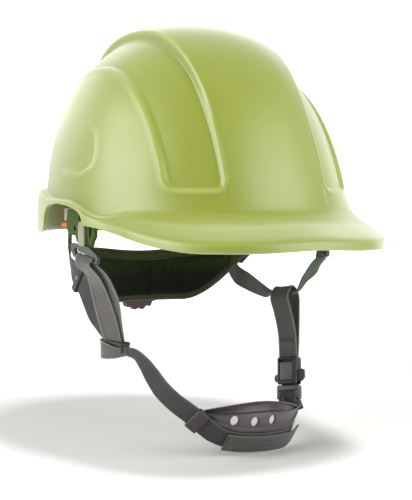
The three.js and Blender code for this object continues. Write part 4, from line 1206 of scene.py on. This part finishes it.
class Solid:
    """A moulded part made from rounded blocks and pegs about its own origin, cut and joined."""

    def __init__(self, centre, axes):
        self.centre, self.axes = np.asarray(centre, float), axes
        self.parts, self.tools = [], []

    def block(self, size, at=(0, 0, 0), radius=0.6, tool=False, turn=0.0):
        """A block, its edges rounded. A tool is cut out of the part instead of joined to it."""
        mesh = bmesh.new()
        bmesh.ops.create_cube(mesh, size=1)
        for v in mesh.verts:
            v.co = Vector((v.co.x * size[0], v.co.y * size[1], v.co.z * size[2]))
        if radius:
            self.round_off(mesh, mesh.edges[:], radius, 3, clamp_overlap=True)
        return self.store(mesh, tool, Matrix.Translation(Vector(at)) @ Matrix.Rotation(turn, 4, "Y"))

    def peg(self, radius, length, at=(0, 0, 0), tool=False, sides=40, bevel=0.0):
        """A round peg along Y."""
        mesh = bmesh.new()
        bmesh.ops.create_cone(
            mesh, cap_ends=True, segments=sides, radius1=radius, radius2=radius, depth=length
        )
        if bevel:
            rims = [e for e in mesh.edges if any(len(f.verts) > 4 for f in e.link_faces)]
            self.round_off(mesh, rims, bevel, 3)
        turn = Matrix.Rotation(math.pi / 2, 4, "X")
        return self.store(mesh, tool, Matrix.Translation(Vector(at)) @ turn)

    def plate(self, outline, near, far, radius=0.4, tool=False):
        """An outline in X and Z made solid from near to far in Y, its edges rounded."""
        mesh = bmesh.new()
        low = [mesh.verts.new((x, near, z)) for x, z in outline]
        high = [mesh.verts.new((x, far, z)) for x, z in outline]
        caps = [mesh.faces.new(low), mesh.faces.new(high[::-1])]
        for i in range(len(low)):
            j = (i + 1) % len(low)
            mesh.faces.new((low[j], low[i], high[i], high[j]))
        bmesh.ops.recalc_face_normals(mesh, faces=mesh.faces)
        if radius:
            self.round_off(mesh, list({e for f in caps for e in f.edges}), radius, 2)
        return self.store(mesh, tool)

    @staticmethod
    def round_off(mesh, edges, radius, segments, **more):
        bmesh.ops.bevel(
            mesh, geom=edges, offset=radius, segments=segments, profile=0.5, affect="EDGES", **more
        )

    def store(self, mesh, tool, move=None):
        if move is not None:
            bmesh.ops.transform(mesh, matrix=move, verts=mesh.verts)
        bmesh.ops.recalc_face_normals(mesh, faces=mesh.faces)
        data = bpy.data.meshes.new("part")
        mesh.to_mesh(data)
        mesh.free()
        (self.tools if tool else self.parts).append(new_object("part", data))
        return self

    def build(self, name, material, body, replaces=(), bevel=0.0, crease=34):
        """Joins the parts, cuts the tools out and places the result as a finished piece."""
        whole = self.parts[0]
        for others, operation in ((self.parts[1:], "UNION"), (self.tools, "DIFFERENCE")):
            for other in others:
                change = whole.modifiers.new("solid", "BOOLEAN")
                change.operation, change.solver, change.object = operation, "EXACT", other
        if bevel:
            soften_edges(whole, bevel).use_clamp_overlap = True
        apply_modifiers(whole)
        for other in self.parts[1:] + self.tools:
            old = other.data
            bpy.data.objects.remove(other)
            bpy.data.meshes.remove(old)
        data = whole.data
        place = Matrix.Translation(Vector(self.centre)) @ Matrix(self.axes.T.tolist()).to_4x4()
        data.transform(Matrix.Scale(MM, 4) @ place)
        data.shade_smooth()
        data.set_sharp_from_angle(angle=math.radians(crease))
        bpy.data.objects.remove(whole)
        return settle(name, data, material, body, replaces)


def rounded_outline(points, radius, corner_steps=5):
    """A polygon with its corners turned to arcs."""
    p = np.asarray(points, float)
    radius = np.broadcast_to(radius, (len(p),))
    result = []
    for i in range(len(p)):
        a, b, c = p[i - 1], p[i], p[(i + 1) % len(p)]
        back, ahead = unit(a - b), unit(c - b)
        half = math.acos(np.clip(np.dot(back, ahead), -1, 1)) / 2
        shorter = min(np.linalg.norm(a - b), np.linalg.norm(c - b))
        reach = min(radius[i] / max(math.tan(half), 1e-3), 0.45 * shorter)
        start, end = b + back * reach, b + ahead * reach
        for t in np.linspace(0, 1, corner_steps):
            result.append((1 - t) ** 2 * start + 2 * t * (1 - t) * b + t**2 * end)
    return [tuple(q) for q in result]


# ---------------------------------------------------------------- strap fittings
def hanger_middle(sign, depth):
    """How far along the hanger's own Y a depth towards the head lies."""
    return -sign * depth


def hanger_depth(sign, near, far):
    return sorted((hanger_middle(sign, near), hanger_middle(sign, far)))


# The hanger's outlines in its own X and Z, X running forward.
HANGER_RING = [(-15.5, 6), (-6, 4.8), (3.2, 3.4), (11.9, -1.8), (13.4, -4), (13, -8.2), (10.4, -9.4)]
HANGER_RING += [(6, -8.2), (-11.8, -4.4), (-14.6, 0)]
HANGER_SLOT = [(-9.6, 0.6), (9.2, -4), (9.2, -6.4), (-9.6, -2.6)]
TAB = [(-7, 3.8), (-7.2, 18.6), (-5.8, 21.8), (-2.4, 21.6), (-0.6, 18), (-0.2, 3)]
HOOK = [(-4.4, 12), (-3.6, 20.6), (-0.8, 22.4), (1.8, 20), (2.9, 13), (2.6, 8.4), (4.2, 11.4), (5.2, 16)]
HOOK += [(7, 18), (8.8, 16), (8.6, 10.4), (6.2, 6.8), (4.4, 1.4), (-2, 2)]
BRACKET = [(-24, 16), (-23, 30), (-10.4, 30), (-10.2, 18), (-11.4, 13), (-7.4, 11.6), (-3.4, 9)]
BRACKET += [(-3, 4.6), (-8, 4.4), (-13.2, 6.6), (-14.6, 11), (-21, 11.4)]
# Name, outline, corner radius, nearest and furthest depth, edge radius, material and slot.
HANGER_PLATES = [
    ("tab", TAB, 2.6, -1.8, 0.6, 0.8, PALE_GREY, "grey_plastic"),
    ("hook", HOOK, 1.1, 0.4, 3.4, 0.6, DEEP_GREEN, "black_plastic"),
    ("bracket", BRACKET, 1.6, 2.6, 5.2, 0.7, DEEP_GREEN, "black_plastic"),
]


def hanger(side, sign):
    """The slotted ring under the rim with its tab, hook and bracket, and the socket above it."""
    axes = frame_of((-0.31 * sign, -0.95, 0))
    centre = (RING_X * sign, RING_Y, 0)
    part = Solid(centre, axes)
    part.plate(rounded_outline(HANGER_RING, 1.8), -1.5, 1.5, 0.55)
    part.plate(rounded_outline(HANGER_SLOT, 0.8, 3), -3, 3, 0, tool=True)
    part.peg(1.9, 8, (-9, 0, 0.8), tool=True, sides=28).peg(1.5, 8, (9.4, 0, -5.6), tool=True, sides=28)
    part.build(f"hanger_{side}_ring", GREY, "helmet", [f"front_hanger_{side}"], crease=28)

    for name, outline, corner, near, far, edge, material, slot in HANGER_PLATES:
        part = Solid(centre, axes)
        part.plate(rounded_outline(outline, corner), *hanger_depth(sign, near, far), edge)
        if name == "bracket":
            hole_y = hanger_middle(sign, 4)
            part.peg(1.7, 12, (-14.3, hole_y, 16.4), tool=True, sides=28)
            part.peg(1.1, 12, (-8, hole_y, 7.8), tool=True, sides=28)
        part.build(f"hanger_{side}_{name}", material, "helmet", crease=28)

    # The socket of the ear defender's arm: a stone-grey frame over an orange lip.
    part = Solid((SOCKET_X * sign, 15, 24), np.eye(3))
    part.block((2.6, 21.6, 9.4), (0, 0, 2), 0.6)
    for y in (-5, 5):
        part.block((4, 2.2, 9), (-sign * 0.6, y, 2), 0.7)
    part.block((8, 13, 4.6), (0, 0, -2.2), 0.4, tool=True)
    replaced = [f"accessory_socket_{side}"]
    part.build(f"accessory_{side}_frame", STONE_GREY, "helmet", replaced)
    part = Solid((SOCKET_X * sign, 17, 24), np.eye(3))
    part.block((3.4, 26, 3), (0, 0, -5.6), 0.7)
    part.build(f"accessory_{side}_lip", ORANGE, "helmet")


SLIDER = (-76.8, -1, -72)


def make_slider():
    axes = frame_of((0.31, -0.95, 0))
    part = Solid(SLIDER, axes)
    part.block((22.6, 10, 2.4), (0.6, 0, 4.2), 0.9, turn=0.1).block((2.6, 8, 8.4), (11, 0, 0.6), 0.9)
    part.block((2.6, 7, 10), (-9.6, 1.2, -1), 0.9).block((7.4, 7.4, 4.2), (-7.2, -0.6, -6.6), 1.3)
    part.block((20, 2.2, 2.4), (0.6, 3, -3.2), 0.8).block((16, 3, 6), (0.3, 2.6, 4.4), 0.4, tool=True)
    part.build("slider_right_moulded", BLACK, "helmet", ["slider_right"])

    fold = [(-8.4, -5.2, -1.2), (-4.4, -6.4, -1.9), (1, -6.2, -2.6), (6.4, -5, -2.9), (11, -3, -2.4)]
    fold += [(14.6, -1.2, -1.2)]
    strap = Strap(SLIDER + np.array(fold) @ axes, (-0.1, 0.3, 1), (0.8, 0.78, 0.64, 0.5, 0.4, 0.4))
    webbing("slider_right_fold", strap, WARM_STRAP, "helmet")
    tail = np.array([(-8.6, -4.2, -4.4), (-9.6, -2, -4.6), (-9.2, 1.4, -4.4), (-7, 3.6, -4)])
    strap = Strap(SLIDER + tail @ axes, (0, 0, 1), (0.5, 0.5), width=12)
    webbing("slider_right_tail", strap, STRAP, "helmet")


def buckle_frame():
    up = unit((0.15, 0.23, 0.96))
    across = np.array([0.449, -0.894, 0]) + up * (-0.449 * 0.15 + 0.894 * 0.23)
    return frame_of(across, up)


BUCKLE_AT = (71.2, -11, -99.5)
MOUTH = -11
LATCH = {
    "front": [(5.4, -11.2), (6.8, -8.6), (11.8, -8), (14, -5.4), (13.8, 0.6), (11.4, 1.6), (8, -0.4)]
    + [(5.6, 1)],
    "rear": [(-5.4, -11.2), (-6.8, -8.6), (-10.6, -8.4), (-12, -6.6), (-11.6, -3.4), (-8.4, -1.6)]
    + [(-5.6, 0)],
}


def make_buckle():
    axes = buckle_frame()
    part = Solid(BUCKLE_AT, axes)
    part.block((17.4, 9.4, 21.9), (0.6, 0, 0.15), 1.7)
    part.block((13.6, 6, 17.4), (0.4, 0, MOUTH + 8), 0.5, tool=True)
    part.block((24, 5.4, 11.6), (0.4, 0, MOUTH + 5.2), 0.8, tool=True)
    part.block((13.8, 12, 1.8), (0.4, 0, 8.2), 0.6, tool=True)
    for side in (-1, 1):
        part.block((12.6, 2.4, 15.8), (0.4, side * 4.7, -0.4), 0.4, tool=True)
    part.build("buckle_socket_moulded", BLACK, "helmet", ["buckle_socket"])
    for side, place in ((-1, "inner"), (1, "outer")):
        part = Solid(BUCKLE_AT, axes)
        part.block((11.4, 1.6, 14.6), (0.4, side * 4.4, -0.4), 0.6)
        part.build(f"buckle_panel_{place}", BUCKLE_BROWN, "helmet")

    part = Solid(BUCKLE_AT, axes)
    top = MOUTH - 0.25
    part.block((18.2, 8.2, 4.6), (0.6, 0, top - 2.3), 1.1).block((2.4, 3, 14), (0, 0, top + 6.5), 0.4)
    for x in (-7.4, 8.6):
        part.block((3, 6.6, 10), (x, 0, top - 6), 0.9)
    part.block((18, 4, 2.8), (0.6, 0, top - 10), 1)
    part.build("buckle_plug_moulded", BUCKLE_BROWN, "chin", ["buckle_plug"])
    drop = [(0.6, 2.6, top - 6.4), (0.6, -1.6, top - 3.6), (0.6, -3.4, top - 8), (0.4, -2, top - 17)]
    end = [(66.4, -20.8, -123), (62.4, -31.8, -127.4)]
    route = np.vstack([BUCKLE_AT + np.array(drop) @ axes, end])
    web = Strap(route, (0.449, -0.894, 0.1), (0.9, 0.9, 0.94, 0.98, 1, 0.98))
    webbing("buckle_plug_web", web, STRAP, "chin")
    for place, outline in LATCH.items():
        part = Solid(BUCKLE_AT, axes)
        part.plate(rounded_outline(outline, 1.1), -1.9, 1.9, 0.6)
        replaced = [f"prong_{place}"]
        part.build(f"prong_{place}_moulded", BLACK, f"{place}_prong", replaced, crease=28)


# ---------------------------------------------------------------- chin cup
CUP_HALF, CUP_START, CUP_THICK = 47, -0.81, 2.6
CUP_HOLES = [(-18.7, -119.6), (-3.3, -121.4), (12.1, -121.5)]


def cup_y(u):
    return -78 + 20 * np.abs(u) ** 2.2


def cup_top(u):
    return -108.6 - 6.5 * u * u - 3.5 * np.maximum(u, 0) ** 2


def cup_bottom(u):
    low = -129 + 8.4 * np.abs(u - 0.35) ** 3.5 + 9 * np.maximum(0, (u - 0.6) / 0.4) ** 1.5
    return np.minimum(low, cup_top(u) - 3)


# The cup's skin from its lower edge up: share of the height, millimetres out from the middle surface,
# millimetres added to the height.
CUP_SECTION = [
    (0, 0.2, -2.2), (0, 1.3, -1.5), (0.05, 1.5, 0), (0.12, 1, 0), (0.17, 0.3, 0), (0.26, 0.5, 0),
    (0.5, 0.9, 0), (0.64, 0.7, 0), (0.7, 0, 0), (0.78, -1.4, 0), (0.9, -1.5, 0), (0.96, 0.3, 0),
    (1, 1.3, 0.3), (1, 0.4, 0.9),
]


def make_cup():
    u = np.linspace(CUP_START, 0.995, 150)
    x = CUP_HALF * u
    slope = (cup_y(u + 0.01) - cup_y(u - 0.01)) / (0.02 * CUP_HALF)
    inward = unit(xyz(-slope, 1, 0))
    end = np.sqrt(np.clip(1 - np.clip((u - 0.93) / 0.065, 0, 1) ** 2, 0.02, 1))
    fine = spline(CUP_SECTION, np.linspace(0, 1, 40))
    rings = []
    for i in range(len(u)):
        low, high = cup_bottom(u[i]) - 0.6, cup_top(u[i])
        middle = (low + high) / 2
        swell = 1.5 * (1 - u[i] ** 2)
        share, out, add = fine.T
        curve = swell * (2 * share - 1) ** 2 - 0.5 * (1 - (2 * share - 1) ** 2)
        z = middle + (lerp(low, high, share) + add - middle) * end[i]
        skin = xyz(x[i], cup_y(u[i]) + curve, z)
        front = skin - inward[i] * out[:, None] * end[i]
        back = skin + inward[i] * CUP_THICK * end[i]
        rings.append(np.vstack([front, back[-2:0:-1]]))
    points, faces = lofted(np.array(rings))
    data = bpy.data.meshes.new("cup")
    data.from_pydata(points.tolist(), [], [tuple(f) for f in faces])
    part = Solid((0, 0, 0), np.eye(3))
    part.parts.append(new_object("cup", data))
    for hole_x, hole_z in CUP_HOLES:
        part.peg(3.55, 24, (hole_x, cup_y(0), hole_z), tool=True, sides=56)
    part.build("chin_cup_moulded", CUP_PANEL, "chin", ["chin_cup"], bevel=0.35, crease=30)

    axes = frame_of((0.386, -0.616, 0.686), (7.9, -3.7, -7.6))
    part = Solid((-43.2, -64.5, -118.7), axes)
    part.block((17.8, 4.6, 10), (-0.4, 0, 0.6), 1.3).block((16.5, 2, 15), radius=0.4, tool=True)
    part.build("cup_sleeve_moulded", AUBERGINE, "chin", ["cup_sleeve"])


# ---------------------------------------------------------------- keeper, knob and ratchet
RATCHET = {"y": 99.8, "z": -36, "half_width": 35, "half_height": 13}
LID_NEAR = RATCHET["y"] + 4.9
KNOB_NEAR = LID_NEAR + 2.35
CHANNEL_HALF = 11.4
KNOB_RADIUS, GRIPS, BORE = 20.5, 18, 4.35
# The knob from its near face round its grip and over its far face to the bore: millimetres out,
# millimetres inside its radius and the share of the grip's waves.
KNOB_SECTION = [
    (0, 1.2, 1), (0.5, 0.4, 1), (1.4, 0, 1), (7.8, 0, 1), (9.2, 0.6, 1), (9.9, 1.8, 0.7), (10, 3.2, 0.3),
    (9.8, 6, 0), (8.6, 8.6, 0), (8.4, 11.5, 0), (8.6, 13.9, 0),
    (8.6, KNOB_RADIUS - BORE, 0), (0, KNOB_RADIUS - BORE, 0),
]
KEEPER = (-88.1, 35.2, -23.8)


def make_small_parts():
    axes = frame_of((0.1, -0.5, 0.8), (0, 12, 6.6))
    part = Solid(KEEPER, axes)
    part.block((20.4, 5.6, 6.4), radius=1.1).block((17, 2.6, 10), radius=0.4, tool=True)
    part.build("strap_keeper_moulded", BLACK, "helmet", ["strap_keeper"])
    part = Solid(KEEPER, axes)
    part.peg(1.5, 1, (1.6, -2.9, 0), sides=28, bevel=0.3)
    part.build("strap_keeper_rivet", PALE_GREY, "helmet")

    turn = np.linspace(0, 2 * np.pi, 216, endpoint=False)
    waves = 1 + 0.045 * np.cos(GRIPS * turn)
    rings = []
    for far, inset, grip in KNOB_SECTION:
        radius = (KNOB_RADIUS - inset) * lerp(1, waves, grip)
        rings.append(xyz(radius * np.cos(turn), far, radius * np.sin(turn)))
    points, faces = lofted(np.array(rings), closed_path=True)
    points += (0, KNOB_NEAR, RATCHET["z"])
    replaced = ["ratchet_knob"]
    piece("ratchet_knob_moulded", points, faces, BROWN, "knob", replaced, crease=40)

    part = Solid((0, LID_NEAR + 1, RATCHET["z"]), np.eye(3))
    half_w, half_h = RATCHET["half_width"], RATCHET["half_height"]
    corners = [(-half_w, -half_h), (half_w, -half_h), (half_w, half_h), (-half_w, half_h)]
    outline = rounded_outline(corners, 9, 9)
    part.plate(outline, -1, 1, 0.5)
    part.peg(BORE, 8, tool=True)
    for x in (-28, 28):
        part.peg(2.2, 1.2, (x, 1.1, 0), tool=True, sides=32)
        part.block((6, 1, 16), (x * 0.86, 1.2, 0), 0.3, tool=True)
    part.build("ratchet_cover_moulded", BLACK, "nape", ["ratchet_cover"])
    deep = LID_NEAR - 0.35 - RATCHET["y"]
    part = Solid((0, RATCHET["y"] + deep / 2, RATCHET["z"]), np.eye(3))
    part.plate(outline, -deep / 2, deep / 2, 0.4)
    part.block((2 * half_w + 4, deep, 2 * CHANNEL_HALF), (0, 1.65, 0), 0, tool=True)
    part.build("ratchet_housing_moulded", BLACK, "nape", ["ratchet_housing"])

    for sign, side in ((1, "left"), (-1, "right")):
        hanger(side, sign)

    # CAD nodes whose shapes are right keep them, with softened edges and their own finish.
    kept = [f"crown_clip_{place}_{side}" for place in CLIP_DEGREES for side in ("left", "right")]
    kept += ["rack_left", "rack_right", "ratchet_pinion", "rear_anchor_left", "rear_anchor_right"]
    for name in kept:
        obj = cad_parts[name]
        for spot in obj.material_slots:
            spot.material = GREY
        fine = "rack" in name or "pinion" in name
        soften_edges(obj, (0.12 if fine else 0.4) * MM)


make_straps()
make_cradle()
make_bands()
make_pads()
make_slider()
make_buckle()
make_cup()
make_small_parts()
make_stage()
make_light()
